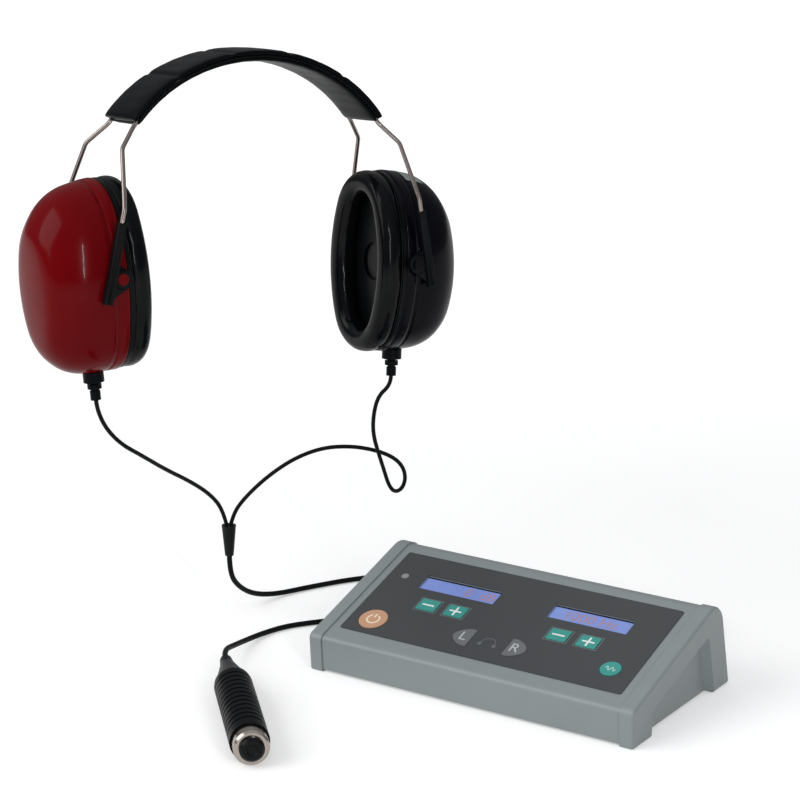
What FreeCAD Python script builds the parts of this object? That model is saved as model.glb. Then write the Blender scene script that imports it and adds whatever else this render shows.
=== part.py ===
import FreeCAD, Part
import math
import os
from FreeCAD import Placement, Rotation, Vector

# Screening audiometer: a sloped desk console with a membrane keypad and two
# displays, a patient's response handle and a noise-excluding headset as worn.
# Millimetres, +Z up, +X to the operator's right, +Y away from the operator.
# Sizes and routes are laid out from the table point under the console's middle.
# The finished part is then moved so that its origin is on the table, under the
# middle of everything but its free cords.

# ---- console ----------------------------------------------------------------
CONSOLE_WIDTH = 220.0
CONSOLE_DEPTH = 120.2       # at the table
FRONT_HEIGHT = 23.2         # from the table to the front top edge
FRONT_LEAN = 1.6            # the front top edge stands this far out
SLOPE_ANGLE = 18.03         # of the keypad face
REAR_LEAN = 13.8            # of the rear wall, degrees from upright
FRONT_EDGE_RADIUS = 4.5
REAR_EDGE_RADIUS = 14.0
FOOT_EDGE_RADIUS = 1.5
CASE_WALL = 2.5
CHEEK_THICKNESS = 9.0
CHEEK_PROUD = 0.9           # cheeks stand this far out of the case all round
CHEEK_EDGE_RADIUS = 2.0
CHEEK_RECESS_DEPTH = 5.0
CHEEK_POST_FRONT = 21.5
CHEEK_POST_REAR = 20.0
CHEEK_RIM = 14.0            # the rim above the recess, square to the slope
CHEEK_RECESS_DRAFT = 3.6    # how far the recess walls lean in over its depth
CHEEK_RECESS_LOW_CORNER = 1.0
CHEEK_RECESS_HIGH_CORNER = 3.0
CHEEK_COLLAR_LENGTH = 5.0
FOOT_HEIGHT = 1.6           # clear space under the case and the cheek panels
BASE_THICKNESS = 2.5
FIT_GAP = 0.2               # between pieces that slip together

# ---- keypad face: x across, s up the slope from the front top edge -----------
FILM_THICKNESS = 0.5
FILM_HALF_WIDTH = 95.3
FILM_LOW = 12.0
FILM_HIGH = 92.7
FILM_CORNER = 1.5
LCD_WIDTH = 53.4
LCD_HEIGHT = 13.4
LCD_ROW = 68.6
LCD_LEFT = -44.0
LCD_RIGHT = 46.0
LCD_SUNK = 0.9              # the glass lies this far below the case's face
LCD_MARGIN = 4.0            # of the module round its glass
KEY_GAP = 0.25              # round each key
KEY_PROUD = 0.3             # above the film
KEY_TRAVEL = 0.5
KEY_FLANGE = 1.0            # wider than the key, and as thick
KEY_STEM_RADIUS = 2.0
SQUARE_KEY_WIDTH = 12.9
SQUARE_KEY_HEIGHT = 10.3
SQUARE_KEY_ROW = 48.2
SQUARE_KEY_CORNER = 0.8
LEVEL_KEYS = (-54.3, -35.0)
PITCH_KEYS = (35.6, 55.4)
EAR_KEY_EDGE = 12.3         # from the middle to each ear key's straight edge
EAR_KEY_DEPTH = 12.3
EAR_KEY_HALF_HEIGHT = 7.6
EAR_KEY_ROW = 28.5
POWER_KEY_AT = (-79.5, 25.3)
POWER_KEY_RADIUS = 8.9
TONE_KEY_AT = (79.4, 30.3)
TONE_KEY_RADIUS = 6.3
LIGHT_AT = (-84.4, 69.8)
LIGHT_RADIUS = 2.4
BOARD_THICKNESS = 1.6
KEYPAD_BOARD_DROP = 6.4     # from the case's face to the board's upper side
KEYPAD_BOARD_MARGIN = 2.5   # inside the film's outline
KEYPAD_SCREW_LOW = 42.0     # s of the lower screw pair, above the round keys
DOME_RADIUS = 3.0
BOSS_RADIUS = 3.5
BOARD_SCREW_RADIUS = 1.15
BASE_SCREW_RADIUS = 1.45
SCREW_HEAD_HEIGHT = 1.6
SCREW_GAP = 0.05
BASE_SCREW_INSET = 5.5      # from the cheeks' inner faces
BASE_SCREW_ROWS = (-42.0, 40.0)
BASE_BOSS_WIDTH = 10.0      # of the cheeks' blocks above the base screws
BASE_BOSS_HEIGHT = 9.0
BASE_SCREW_LENGTH = 9.5
BOARD_SCREW_LENGTH = 6.0

# ---- inside and rear of the console ------------------------------------------
MAIN_BOARD_HALF_WIDTH = 88.0
MAIN_BOARD_FRONT = -44.0
MAIN_BOARD_REAR = 42.0
# electronic parts on the main board: x, y, width, depth, height
BOARD_PARTS = ((-50, -12, 30, 30, 2.5), (12, -18, 18, 18, 2.0), (48, -8, 22, 12, 5.0),
               (-45, 20, 26, 8, 3.0))
STANDOFF_HEIGHT = 5.0
STANDOFF_INSET = 5.0
STANDOFF_REAR_X = 45.0      # the rear pair stands between the sockets
SOCKET_HEIGHT = 16.0        # of the socket axes above the table
RESPONSE_SOCKET_X = -75.0
HEADSET_SOCKET_X = 5.0
POWER_SOCKET_X = 80.0
JACK_RADIUS = 3.15
JACK_LENGTH = 22.0
JACK_GAP = 0.05
JACK_BODY_WIDTH = 15.0
JACK_BODY_LENGTH = 24.0
JACK_BUSH_RADIUS = 5.0
JACK_NUT_RADIUS = 6.5
JACK_NUT_THICKNESS = 2.0
SOCKET_BODY_BACK = 5.5      # from the wall's outside to the sockets' bodies
SOCKET_CUT = 20.0           # reach of the holes for them, either way
POWER_BORE_RADIUS = 2.8
POWER_BORE_LENGTH = 9.0
POWER_BUSH_RADIUS = 4.0
POWER_BUSH_PROUD = 0.4
POWER_BODY_WIDTH = 11.0
PLUG_RADIUS = 5.5
PLUG_TAIL_RADIUS = 4.4
PLUG_BARREL_LENGTH = 22.4
PLUG_TAIL_LENGTH = 9.6

# ---- response handle, along its own axis from the cord end --------------------
HANDLE_AT = (-143.1, -99.5)     # the cord end, on the table
HANDLE_TURN = -46.5             # degrees from +X to the button end
HANDLE_LENGTH = 131.0
GRIP_RADIUS = 11.3
GRIP_WALL = 2.4
BEZEL_LENGTH = 9.0
GRIP_END = HANDLE_LENGTH - BEZEL_LENGTH
GRIP_SHOULDER = 38.0            # where the full radius starts
GRIP_NECK = 9.0                 # where the cone starts
GRIP_TAIL_RADIUS = 3.6
GRIP_NECK_RADIUS = 4.4
GRIP_SHOULDER_STEPS = ((-5.0, 2.2), (0.0, 0.4), (3.0, 0.0))     # along, below the full radius
RIB_COUNT = 12
RIB_PITCH = 6.0
RIB_DEPTH = 0.8
RIB_WIDTH = 1.6
RIB_START = 46.0
BEZEL_RADIUS = 10.2
BEZEL_CHAMFER = 1.2
BUTTON_RADIUS = 7.1
BUTTON_PROUD = 3.2
BUTTON_TRAVEL = 2.0
BUTTON_GAP = 0.08
BUTTON_DIMPLE = 2.6
BUTTON_DIMPLE_DEPTH = 0.8
BUTTON_CHAMFER = 1.3
BUTTON_SKIRT = 9.0              # from the grip's end to the skirt's inner end
SWITCH_DROP = 22.0              # from the grip's end to the switch housing
SWITCH_HALF_WIDTH = 4.4
SWITCH_PLUNGER_RADIUS = 2.2
SWITCH_PLUNGER_GAP = 0.4        # left when the button is fully in
SPRING_WIRE = 0.6
SPRING_TURNS = 5
SPRING_CORNERS = 6              # bends in each turn
SWITCH_LENGTH = 18.0

# ---- headset as worn: x to the wearer's left, y to the back, z up ---------------
HEAD_AT = (-180.8, -24.6, 233.8)    # middle between the cup pivots
HEAD_TURN = 65.7                    # about +Z
HEAD_LEAN = 4.15                    # to the wearer's left
HEAD_BACK = 4.1                     # of the band's top, to the back
PIVOT_HALF_SPAN = 100.2
BAND_TOP = 129.2
BAND_CROWN_RADIUS = 114.3
BAND_CROWN_HALF_ANGLE = 26.9
BAND_SIDE_RADIUS = 99.2
BAND_END_ANGLE = 51.7
BAND_WIDTH = 39.0
COVER_THICKNESS = 2.2
PAD_THICKNESS = 5.0
PAD_WIDTH = 37.0
WIRE_RADIUS = 1.35
WIRE_HALF_SPACING = 16.2
WIRE_DEPTH = 4.2                    # of the wires below the band's outside
WIRE_GAP = 0.1
# kinks of the front wire on its way from the left slider to the band; the rear wire mirrors
# them: x inwards of the pivots, y forward, z, and bend radius
WIRE_BENDS = (((2.6, 34.6, 50.0), 12), ((6.6, 24.0, 73.0), 7))
SLIDER_AXIS_Y = 38.8
SLIDER_TOP_OUT = 0.6                # the slider's upper end, outwards of the pivots
SLIDER_TOP_Z = 32.3                 # and above them
SLIDER_LEAN = 10.9                  # degrees outwards, going down
SLIDER_LENGTH = 47.2
SLIDER_WIDTH = 5.6
SLIDER_THICKNESS = 4.4
SLIDER_BORE_GAP = 0.06
HUB_RADIUS = 6.2
HUB_THICKNESS = 2.4
WEB_THICKNESS = 2.0                 # of the plate between the bar and the hub
WEB_TOP = 20.0                      # along the bar
WEB_LOW = 45.0
SLIDER_END_GAP = 3.0                # from the wire's end to the slider's lower end
PIN_RADIUS = 3.4
PIN_PROUD = 0.9                     # of the hub
PIN_GAP = 0.06
CUP_TILT = {-1: 6.7, 1: 0.5}         # the cup's top outwards, right and left
CUP_HALF_WIDTH = 35.4
CUP_HALF_HEIGHT = 56.9
CUP_DROP = 2.0                      # cup middle below the pivots
CUP_SAG = 5.0                       # outer face below the rim
CUP_END_RADIUS = 30.0               # of the oval's top and bottom
CUP_DEPTH = 45.0
CUP_RIM_INSIDE = 5.8                # the shell's rim, inwards of the pivots
CUP_WALL = 2.6
CUP_SEAM = 8.0                      # parting line, from the rim
SEAM_WIDTH = 0.5
SEAM_DEPTH = 0.5
BACK_PLATE_THICKNESS = 2.5
CUSHION_THICKNESS = 13.5
CUSHION_WIDTH = 15.0
CUSHION_INSET = 0.6
LINER_THICKNESS = 8.0
LINER_START = 6.0                   # from the rim
LINER_SCALE = 0.85                  # of the cup's outline
LINER_DEPTH = 0.5                   # share of the cup's depth
DRIVER_RADIUS = 17.0
DRIVER_THICKNESS = 9.0
RELIEF_OUT = 7.0                    # cord exit, outward of the pivots
RELIEF_COLLAR_RADIUS = 6.2
RELIEF_LENGTH = 17.0
PIECE_GAP = 0.3

# ---- cords, with their routes in table millimetres ---------------------------
LEAD_RADIUS = 1.3
CORD_RADIUS = 1.7
COIL_RADIUS = 20.0                  # middle of the turns
COIL_BUNDLE_RADIUS = 6.8
RESPONSE_COIL_AT = (-38.0, 112.0)
HEADSET_COIL_AT = (38.0, 112.0)
Y_JOINT_AT = (-206.0, -12.5, 60.0)  # top of the moulded Y
Y_JOINT_LENGTH = 20.0
Y_JOINT_RADIUS = 4.6


# ---- general helpers ---------------------------------------------------------
def unit(vector):
    return vector * (1.0 / vector.Length)


def rounded_outline(corners, radii):
    """Closed wire in the XY plane whose corners are rounded by arcs."""
    count = len(corners)
    edges = []
    stops = []
    for i in range(count):
        here = Vector(*corners[i], 0)
        before = unit(Vector(*corners[i - 1], 0) - here)
        after = unit(Vector(*corners[(i + 1) % count], 0) - here)
        half = before.getAngle(after) / 2
        setback = radii[i] / math.tan(half)
        middle = here + unit(before + after) * (radii[i] / math.sin(half) - radii[i])
        stops.append((here + before * setback, middle, here + after * setback))
    for i in range(count):
        start, middle, end = stops[i]
        edges.append(Part.Arc(start, middle, end).toShape())
        edges.append(Part.LineSegment(end, stops[(i + 1) % count][0]).toShape())
    return Part.Wire(edges)


def prism(wire, height):
    return Part.Face(wire).extrude(Vector(0, 0, height))


def box(x0, x1, y0, y1, z0, z1):
    return Part.makeBox(x1 - x0, y1 - y0, z1 - z0, Vector(x0, y0, z0))


def rod(radius, start, end):
    line = end - start
    return Part.makeCylinder(radius, line.Length, start, line)


def revolve_profile(points):
    """Solid of revolution about +X from (x, radius) points."""
    wire = Part.makePolygon([Vector(x, r, 0) for x, r in points + points[:1]])
    return Part.Face(wire).revolve(Vector(), Vector(1, 0, 0), 360)


def route_wire(stops):
    """Wire through (point, radius) stops: straight runs joined by tangent arcs."""
    edges = []
    last = stops[0][0]
    for i in range(1, len(stops) - 1):
        here, radius = stops[i]
        back = unit(stops[i - 1][0] - here)
        ahead = unit(stops[i + 1][0] - here)
        half = back.getAngle(ahead) / 2
        setback = radius / math.tan(half)
        start = here + back * setback
        end = here + ahead * setback
        middle = here + unit(back + ahead) * (radius / math.sin(half) - radius)
        if (start - last).Length > 0.01:
            edges.append(Part.LineSegment(last, start).toShape())
            last = start
        edges.append(Part.Arc(last, middle, end).toShape())
        last = end
    edges.append(Part.LineSegment(last, stops[-1][0]).toShape())
    return Part.Wire(edges)


def swept_tube(wire, radius):
    first = wire.Edges[0]
    start = first.Vertexes[0].Point
    circle = Part.Wire(Part.makeCircle(radius, start, first.tangentAt(first.FirstParameter)))
    return wire.makePipeShell([circle], True, False)


def cord_tube(name, points, radius):
    """A free cord's tube: each bend is as wide as its two runs allow."""
    spots = [Vector(*point) for point in points]
    stops = [(spots[0], 0)]
    bends = []
    for i in range(1, len(spots) - 1):
        run_in = spots[i] - spots[i - 1]
        run_out = spots[i + 1] - spots[i]
        turn = run_in.getAngle(run_out)
        bend = 0.45 * min(run_in.Length, run_out.Length) / math.tan(turn / 2)
        bends.append(bend)
        stops.append((spots[i], bend))
    stops.append((spots[-1], 0))
    wire = route_wire(stops)
    tube = swept_tube(wire, radius)
    expected = math.pi * radius ** 2 * wire.Length
    print(f"{name}: length {wire.Length:.0f}, volume ratio {tube.Volume / expected:.4f}, bends",
          " ".join(f"{bend:.0f}" for bend in bends))
    return tube


def coil(centre):
    return Part.makeTorus(COIL_RADIUS, COIL_BUNDLE_RADIUS,
                          Vector(centre[0], centre[1], COIL_BUNDLE_RADIUS))


# ---- console -------------------------------------------------------------------
def console_corners(inset):
    """Side view of the console, (y, z): the outline moved in by inset."""
    slope = math.radians(SLOPE_ANGLE)
    rear = math.radians(REAR_LEAN)
    front = math.atan2(FRONT_LEAN, FRONT_HEIGHT)
    y_front = -CONSOLE_DEPTH / 2 + inset / math.cos(front)
    y_rear = CONSOLE_DEPTH / 2 - inset / math.cos(rear)
    top_y = -CONSOLE_DEPTH / 2 - FRONT_LEAN
    drop = inset / math.cos(slope)
    # the slope's line is z = rise * y + start, the walls' are y = y_wall - lean * z
    rise = math.tan(slope)
    start = FRONT_HEIGHT - drop - rise * top_y
    corners = []
    for y_wall, lean in ((y_front, math.tan(front)), (y_rear, math.tan(rear))):
        z = (start + rise * y_wall) / (1 + rise * lean)
        corners.append((y_wall - lean * z, z))
    return [(y_front, 0), corners[0], corners[1], (y_rear, 0)]


def console_solid(inset, x0, x1):
    corners = console_corners(inset)
    radii = [FOOT_EDGE_RADIUS, max(FRONT_EDGE_RADIUS - inset, 0.5),
             max(REAR_EDGE_RADIUS - inset, 0.5), FOOT_EDGE_RADIUS]
    solid = prism(rounded_outline(corners, radii), x1 - x0)
    solid.Placement = Placement(Vector(x0, 0, 0), Rotation(Vector(1, 1, 1), 120))
    return solid


def face_placement():
    """From the keypad face's (x, s, height) to the table's frame."""
    front_top = console_corners(CHEEK_PROUD)[1]
    return Placement(Vector(0, front_top[0], front_top[1]),
                     Rotation(Vector(1, 0, 0), SLOPE_ANGLE))


def on_face(shape):
    placed = shape.copy()
    placed.Placement = face_placement().multiply(shape.Placement)
    return placed


def key_outlines():
    """Each key's outline on the face, grown by a margin."""
    def square(x):
        def outline(margin):
            half_w = SQUARE_KEY_WIDTH / 2 + margin
            half_h = SQUARE_KEY_HEIGHT / 2 + margin
            corners = [(x - half_w, SQUARE_KEY_ROW - half_h), (x + half_w, SQUARE_KEY_ROW - half_h),
                       (x + half_w, SQUARE_KEY_ROW + half_h), (x - half_w, SQUARE_KEY_ROW + half_h)]
            return rounded_outline(corners, [SQUARE_KEY_CORNER + margin] * 4)
        return outline

    def ear(side):
        def outline(margin):
            edge = side * (EAR_KEY_EDGE - margin)
            tip = side * (EAR_KEY_EDGE + EAR_KEY_DEPTH + margin)
            half = EAR_KEY_HALF_HEIGHT + margin
            shoulder = edge + (tip - edge) * math.sqrt(0.5)
            top = Vector(edge, EAR_KEY_ROW + half, 0)
            bottom = Vector(edge, EAR_KEY_ROW - half, 0)
            upper = Vector(shoulder, EAR_KEY_ROW + half * math.sqrt(0.5), 0)
            lower = Vector(shoulder, EAR_KEY_ROW - half * math.sqrt(0.5), 0)
            curve = Part.BSplineCurve()
            curve.interpolate([top, upper, Vector(tip, EAR_KEY_ROW, 0), lower, bottom])
            return Part.Wire([curve.toShape(), Part.LineSegment(bottom, top).toShape()])
        return outline

    def disc(centre, radius):
        def outline(margin):
            return Part.Wire(Part.makeCircle(radius + margin, Vector(*centre, 0)))
        return outline

    return {
        "key_level_down": (square(LEVEL_KEYS[0]), (LEVEL_KEYS[0], SQUARE_KEY_ROW)),
        "key_level_up": (square(LEVEL_KEYS[1]), (LEVEL_KEYS[1], SQUARE_KEY_ROW)),
        "key_pitch_down": (square(PITCH_KEYS[0]), (PITCH_KEYS[0], SQUARE_KEY_ROW)),
        "key_pitch_up": (square(PITCH_KEYS[1]), (PITCH_KEYS[1], SQUARE_KEY_ROW)),
        "key_left_ear": (ear(-1), (-EAR_KEY_EDGE - EAR_KEY_DEPTH * 0.42, EAR_KEY_ROW)),
        "key_right_ear": (ear(1), (EAR_KEY_EDGE + EAR_KEY_DEPTH * 0.42, EAR_KEY_ROW)),
        "key_power": (disc(POWER_KEY_AT, POWER_KEY_RADIUS), POWER_KEY_AT),
        "key_tone": (disc(TONE_KEY_AT, TONE_KEY_RADIUS), TONE_KEY_AT),
    }


def lcd_block(middle, margin, h0, h1):
    half_w = LCD_WIDTH / 2 + margin
    half_h = LCD_HEIGHT / 2 + margin
    return box(middle - half_w, middle + half_w, LCD_ROW - half_h, LCD_ROW + half_h, h0, h1)


def keypad_board_screws():
    half = FILM_HALF_WIDTH - KEYPAD_BOARD_MARGIN - BOSS_RADIUS - 1
    low = KEYPAD_SCREW_LOW
    high = FILM_HIGH - KEYPAD_BOARD_MARGIN - BOSS_RADIUS
    return [(x, s) for x in (-half, half) for s in (low, high)]


def case_x():
    return CONSOLE_WIDTH / 2 - CHEEK_THICKNESS


def console_case(keys):
    """The extruded top shell: front, keypad face and rear in one."""
    end = case_x()
    shell = console_solid(CHEEK_PROUD, -end, end)
    shell = shell.cut(console_solid(CHEEK_PROUD + CASE_WALL, -end - 1, end + 1))
    inner = console_corners(CHEEK_PROUD + CASE_WALL)
    shell = shell.cut(box(-end - 1, end + 1, inner[0][0], inner[3][0], -1, 10))
    shell = shell.cut(box(-end - 1, end + 1, -CONSOLE_DEPTH, CONSOLE_DEPTH, -1, FOOT_HEIGHT))
    for x, s in keypad_board_screws():
        boss = Part.makeCylinder(BOSS_RADIUS, KEYPAD_BOARD_DROP - CASE_WALL / 2,
                                 Vector(x, s, -KEYPAD_BOARD_DROP))
        hole = Part.makeCylinder(BOARD_SCREW_RADIUS + SCREW_GAP, KEYPAD_BOARD_DROP - CASE_WALL / 2,
                                 Vector(x, s, -KEYPAD_BOARD_DROP - 0.5))
        shell = shell.fuse(on_face(boss)).cut(on_face(hole))
    for outline, _ in keys.values():
        hole = prism(outline(KEY_GAP), 3 * CASE_WALL)
        hole.translate(Vector(0, 0, -2 * CASE_WALL))
        shell = shell.cut(on_face(hole))
    for middle in (LCD_LEFT, LCD_RIGHT):
        shell = shell.cut(on_face(lcd_block(middle, 0, -2 * CASE_WALL, CASE_WALL)))
    light = Part.makeCylinder(LIGHT_RADIUS + SCREW_GAP, 3 * CASE_WALL,
                              Vector(*LIGHT_AT, -2 * CASE_WALL))
    shell = shell.cut(on_face(light))
    for x in (RESPONSE_SOCKET_X, HEADSET_SOCKET_X):
        shell = shell.cut(rear_cylinder(x, JACK_BUSH_RADIUS + SCREW_GAP, -SOCKET_CUT, SOCKET_CUT))
    shell = shell.cut(rear_cylinder(POWER_SOCKET_X, POWER_BUSH_RADIUS + SCREW_GAP, -SOCKET_CUT, SOCKET_CUT))
    return shell


def rear_face_y():
    """The rear wall's outside at the height of the sockets."""
    corners = console_corners(CHEEK_PROUD)
    return corners[3][0] - math.tan(math.radians(REAR_LEAN)) * SOCKET_HEIGHT


def rear_cylinder(x, radius, y_from, y_to):
    """A cylinder along +Y at socket height, counted from the rear wall's outside."""
    start = Vector(x, rear_face_y() + y_from, SOCKET_HEIGHT)
    return rod(radius, start, start + Vector(0, y_to - y_from, 0))


def base_screw_spots():
    x = case_x() - BASE_SCREW_INSET
    return [(side * x, y) for side in (-1, 1) for y in BASE_SCREW_ROWS]


def standoff_spots():
    front = (MAIN_BOARD_HALF_WIDTH - STANDOFF_INSET, MAIN_BOARD_FRONT + STANDOFF_INSET)
    rear = (STANDOFF_REAR_X, MAIN_BOARD_REAR - STANDOFF_INSET)
    return [(side * x, y) for side in (-1, 1) for x, y in (front, rear)]


def base_plate():
    """The floor of the case, with standoffs for the main board."""
    inner = console_corners(CHEEK_PROUD + CASE_WALL)
    lean = math.tan(math.radians(REAR_LEAN)) * (FOOT_HEIGHT + BASE_THICKNESS)
    top = FOOT_HEIGHT + BASE_THICKNESS
    end = case_x() - FIT_GAP
    plate = box(-end, end, inner[0][0] + FIT_GAP, inner[3][0] - lean - FIT_GAP, FOOT_HEIGHT, top)
    for x, y in standoff_spots():
        post = Part.makeCylinder(BOSS_RADIUS, STANDOFF_HEIGHT, Vector(x, y, top))
        hole = Part.makeCylinder(BOARD_SCREW_RADIUS + SCREW_GAP, STANDOFF_HEIGHT,
                                 Vector(x, y, top + 0.8))
        plate = plate.fuse(post).cut(hole)
    for x, y in base_screw_spots():
        hole = Part.makeCylinder(BASE_SCREW_RADIUS + SCREW_GAP, 20, Vector(x, y, 0))
        pocket = Part.makeCylinder(2 * BASE_SCREW_RADIUS + SCREW_GAP, SCREW_HEAD_HEIGHT,
                                   Vector(x, y, FOOT_HEIGHT))
        plate = plate.cut(hole).cut(pocket)
    return plate


def cheek(side):
    """A moulded end cheek: a rimmed plate on two feet, with a collar into the case."""
    outer_x = CONSOLE_WIDTH / 2
    plate = console_solid(0, case_x(), outer_x)
    rim_edges = [edge for edge in plate.Edges
                 if all(abs(v.Point.x - outer_x) < 0.001 for v in edge.Vertexes)]
    plate = plate.makeFillet(CHEEK_EDGE_RADIUS, rim_edges)
    corners = console_corners(CHEEK_RIM)
    front = -CONSOLE_DEPTH / 2 + CHEEK_POST_FRONT
    rear = CONSOLE_DEPTH / 2 - CHEEK_POST_REAR
    rise = math.tan(math.radians(SLOPE_ANGLE))
    lean = math.tan(math.radians(REAR_LEAN))

    def recess_wire(inset):
        y0 = front + inset
        y1 = rear - inset
        top = corners[1][1] + rise * (y0 - corners[1][0]) - inset
        apex_z = (top + rise * (y1 - y0)) / (1 + rise * lean)
        apex_y = y1 - lean * apex_z
        below = -2 * FOOT_HEIGHT
        outline = [(y0, below), (y0, top), (apex_y, apex_z), (y1 - lean * below, below)]
        low, high = CHEEK_RECESS_LOW_CORNER, CHEEK_RECESS_HIGH_CORNER
        return rounded_outline(outline, [low, high, high, low])

    mouth = recess_wire(0)
    floor = recess_wire(CHEEK_RECESS_DRAFT)
    turned = Rotation(Vector(1, 1, 1), 120)
    mouth.Placement = Placement(Vector(outer_x + 0.01, 0, 0), turned)
    floor.Placement = Placement(Vector(outer_x - CHEEK_RECESS_DEPTH, 0, 0), turned)
    plate = plate.cut(Part.makeLoft([mouth, floor], True, True))
    plate = plate.cut(box(case_x() - 1, outer_x + 1, front, rear, -1, FOOT_HEIGHT))
    start = case_x() - CHEEK_COLLAR_LENGTH
    collar = console_solid(CHEEK_PROUD + CASE_WALL + FIT_GAP, start, case_x())
    hollow = console_solid(CHEEK_PROUD + 2 * CASE_WALL, start - 1, case_x())
    collar = collar.cut(hollow)
    floor_top = FOOT_HEIGHT + BASE_THICKNESS + FIT_GAP
    collar = collar.cut(box(start - 1, case_x(), -CONSOLE_DEPTH, CONSOLE_DEPTH, -1, floor_top))
    plate = plate.fuse(collar)
    for x, y in base_screw_spots():
        if x > 0:
            half = BASE_BOSS_WIDTH / 2
            block = box(x - half, case_x(), y - half, y + half,
                        floor_top - FIT_GAP, floor_top + BASE_BOSS_HEIGHT)
            hole = Part.makeCylinder(BASE_SCREW_RADIUS + SCREW_GAP, BASE_SCREW_LENGTH,
                                     Vector(x, y, floor_top - 1))
            plate = plate.fuse(block).cut(hole)
    plate = plate.removeSplitter()
    if side < 0:
        plate = plate.mirror(Vector(), Vector(1, 0, 0))
    return plate


def keypad_film(keys):
    corners = [(-FILM_HALF_WIDTH, FILM_LOW), (FILM_HALF_WIDTH, FILM_LOW),
               (FILM_HALF_WIDTH, FILM_HIGH), (-FILM_HALF_WIDTH, FILM_HIGH)]
    film = prism(rounded_outline(corners, [FILM_CORNER] * 4), FILM_THICKNESS)
    for outline, _ in keys.values():
        hole = prism(outline(KEY_GAP), 2)
        hole.translate(Vector(0, 0, -1))
        film = film.cut(hole)
    for middle in (LCD_LEFT, LCD_RIGHT):
        film = film.cut(lcd_block(middle, 0, -1, 1))
    film = film.cut(Part.makeCylinder(LIGHT_RADIUS + SCREW_GAP, 2, Vector(*LIGHT_AT, -1)))
    return on_face(film)


def key(outline, centre):
    """A key cap with a retaining flange below the case wall and a stem to its dome."""
    top = FILM_THICKNESS + KEY_PROUD
    flange_top = -CASE_WALL - PIECE_GAP
    cap = prism(outline(0), top - flange_top + KEY_FLANGE)
    cap.translate(Vector(0, 0, flange_top - KEY_FLANGE))
    flange = prism(outline(KEY_FLANGE), KEY_FLANGE)
    flange.translate(Vector(0, 0, flange_top - KEY_FLANGE))
    stem_end = -KEYPAD_BOARD_DROP + dome_height() + KEY_TRAVEL + 0.1
    stem = Part.makeCylinder(KEY_STEM_RADIUS, flange_top - stem_end, Vector(*centre, stem_end))
    return on_face(cap.fuse([flange, stem]).removeSplitter())


def dome_height():
    """Domes end just under the key flanges at full travel."""
    flange_low = -CASE_WALL - PIECE_GAP - KEY_FLANGE
    return KEYPAD_BOARD_DROP + flange_low - 2 * KEY_TRAVEL - 0.2


def keypad_board():
    half = FILM_HALF_WIDTH - KEYPAD_BOARD_MARGIN
    board = box(-half, half, FILM_LOW + KEYPAD_BOARD_MARGIN, FILM_HIGH - KEYPAD_BOARD_MARGIN,
                       -KEYPAD_BOARD_DROP - BOARD_THICKNESS, -KEYPAD_BOARD_DROP)
    for x, s in keypad_board_screws():
        board = board.cut(Part.makeCylinder(BOARD_SCREW_RADIUS + SCREW_GAP, 2 * BOARD_THICKNESS,
                                            Vector(x, s, -KEYPAD_BOARD_DROP - 1.5 * BOARD_THICKNESS)))
    return on_face(board)


def dome_switches(keys):
    domes = []
    for _, centre in keys.values():
        dome = Part.makeCone(DOME_RADIUS, DOME_RADIUS * 0.6, dome_height(),
                             Vector(*centre, -KEYPAD_BOARD_DROP))
        domes.append(on_face(dome))
    return Part.makeCompound(domes)


def lcd_module(middle):
    """Display module: a glass that fills the window, on a wider body on the board."""
    glass = lcd_block(middle, -KEY_GAP, -CASE_WALL - 1, -LCD_SUNK)
    body = lcd_block(middle, LCD_MARGIN, -KEYPAD_BOARD_DROP, -CASE_WALL)
    # the body leaves the flanges of the keys below it free
    top_of_flange = SQUARE_KEY_ROW + SQUARE_KEY_HEIGHT / 2 + KEY_FLANGE + PIECE_GAP
    half = LCD_WIDTH / 2 + LCD_MARGIN + 1
    body = body.cut(box(middle - half, middle + half, 0, top_of_flange,
                               -KEYPAD_BOARD_DROP - 1, 0))
    return on_face(glass.fuse(body).removeSplitter())


def light_lens():
    """The small grey light beside the left display, standing on its board."""
    lens = Part.makeCylinder(LIGHT_RADIUS, KEYPAD_BOARD_DROP + FILM_THICKNESS,
                             Vector(*LIGHT_AT, -KEYPAD_BOARD_DROP))
    return on_face(lens)


def main_board():
    low = FOOT_HEIGHT + BASE_THICKNESS + STANDOFF_HEIGHT
    board = box(-MAIN_BOARD_HALF_WIDTH, MAIN_BOARD_HALF_WIDTH, MAIN_BOARD_FRONT, MAIN_BOARD_REAR,
                low, low + BOARD_THICKNESS)
    for x, y in standoff_spots():
        board = board.cut(Part.makeCylinder(BOARD_SCREW_RADIUS + SCREW_GAP, 9, Vector(x, y, low - 3)))
    for x, y, width, depth, height in BOARD_PARTS:
        board = board.fuse(box(x, x + width, y, y + depth, low + BOARD_THICKNESS,
                               low + BOARD_THICKNESS + height))
    return board.removeSplitter()


def machine_screw(x, y, z, radius, length, up):
    """Screw whose head starts at z and whose shank runs up (1) or down (-1)."""
    head_low = z if up > 0 else z - SCREW_HEAD_HEIGHT
    head = Part.makeCylinder(2 * radius, SCREW_HEAD_HEIGHT, Vector(x, y, head_low))
    shank_low = z if up > 0 else z - length
    shank = Part.makeCylinder(radius, length, Vector(x, y, shank_low))
    return head.fuse(shank).removeSplitter()


def base_screws():
    return Part.makeCompound([machine_screw(x, y, FOOT_HEIGHT, BASE_SCREW_RADIUS, BASE_SCREW_LENGTH, 1)
                              for x, y in base_screw_spots()])


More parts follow.
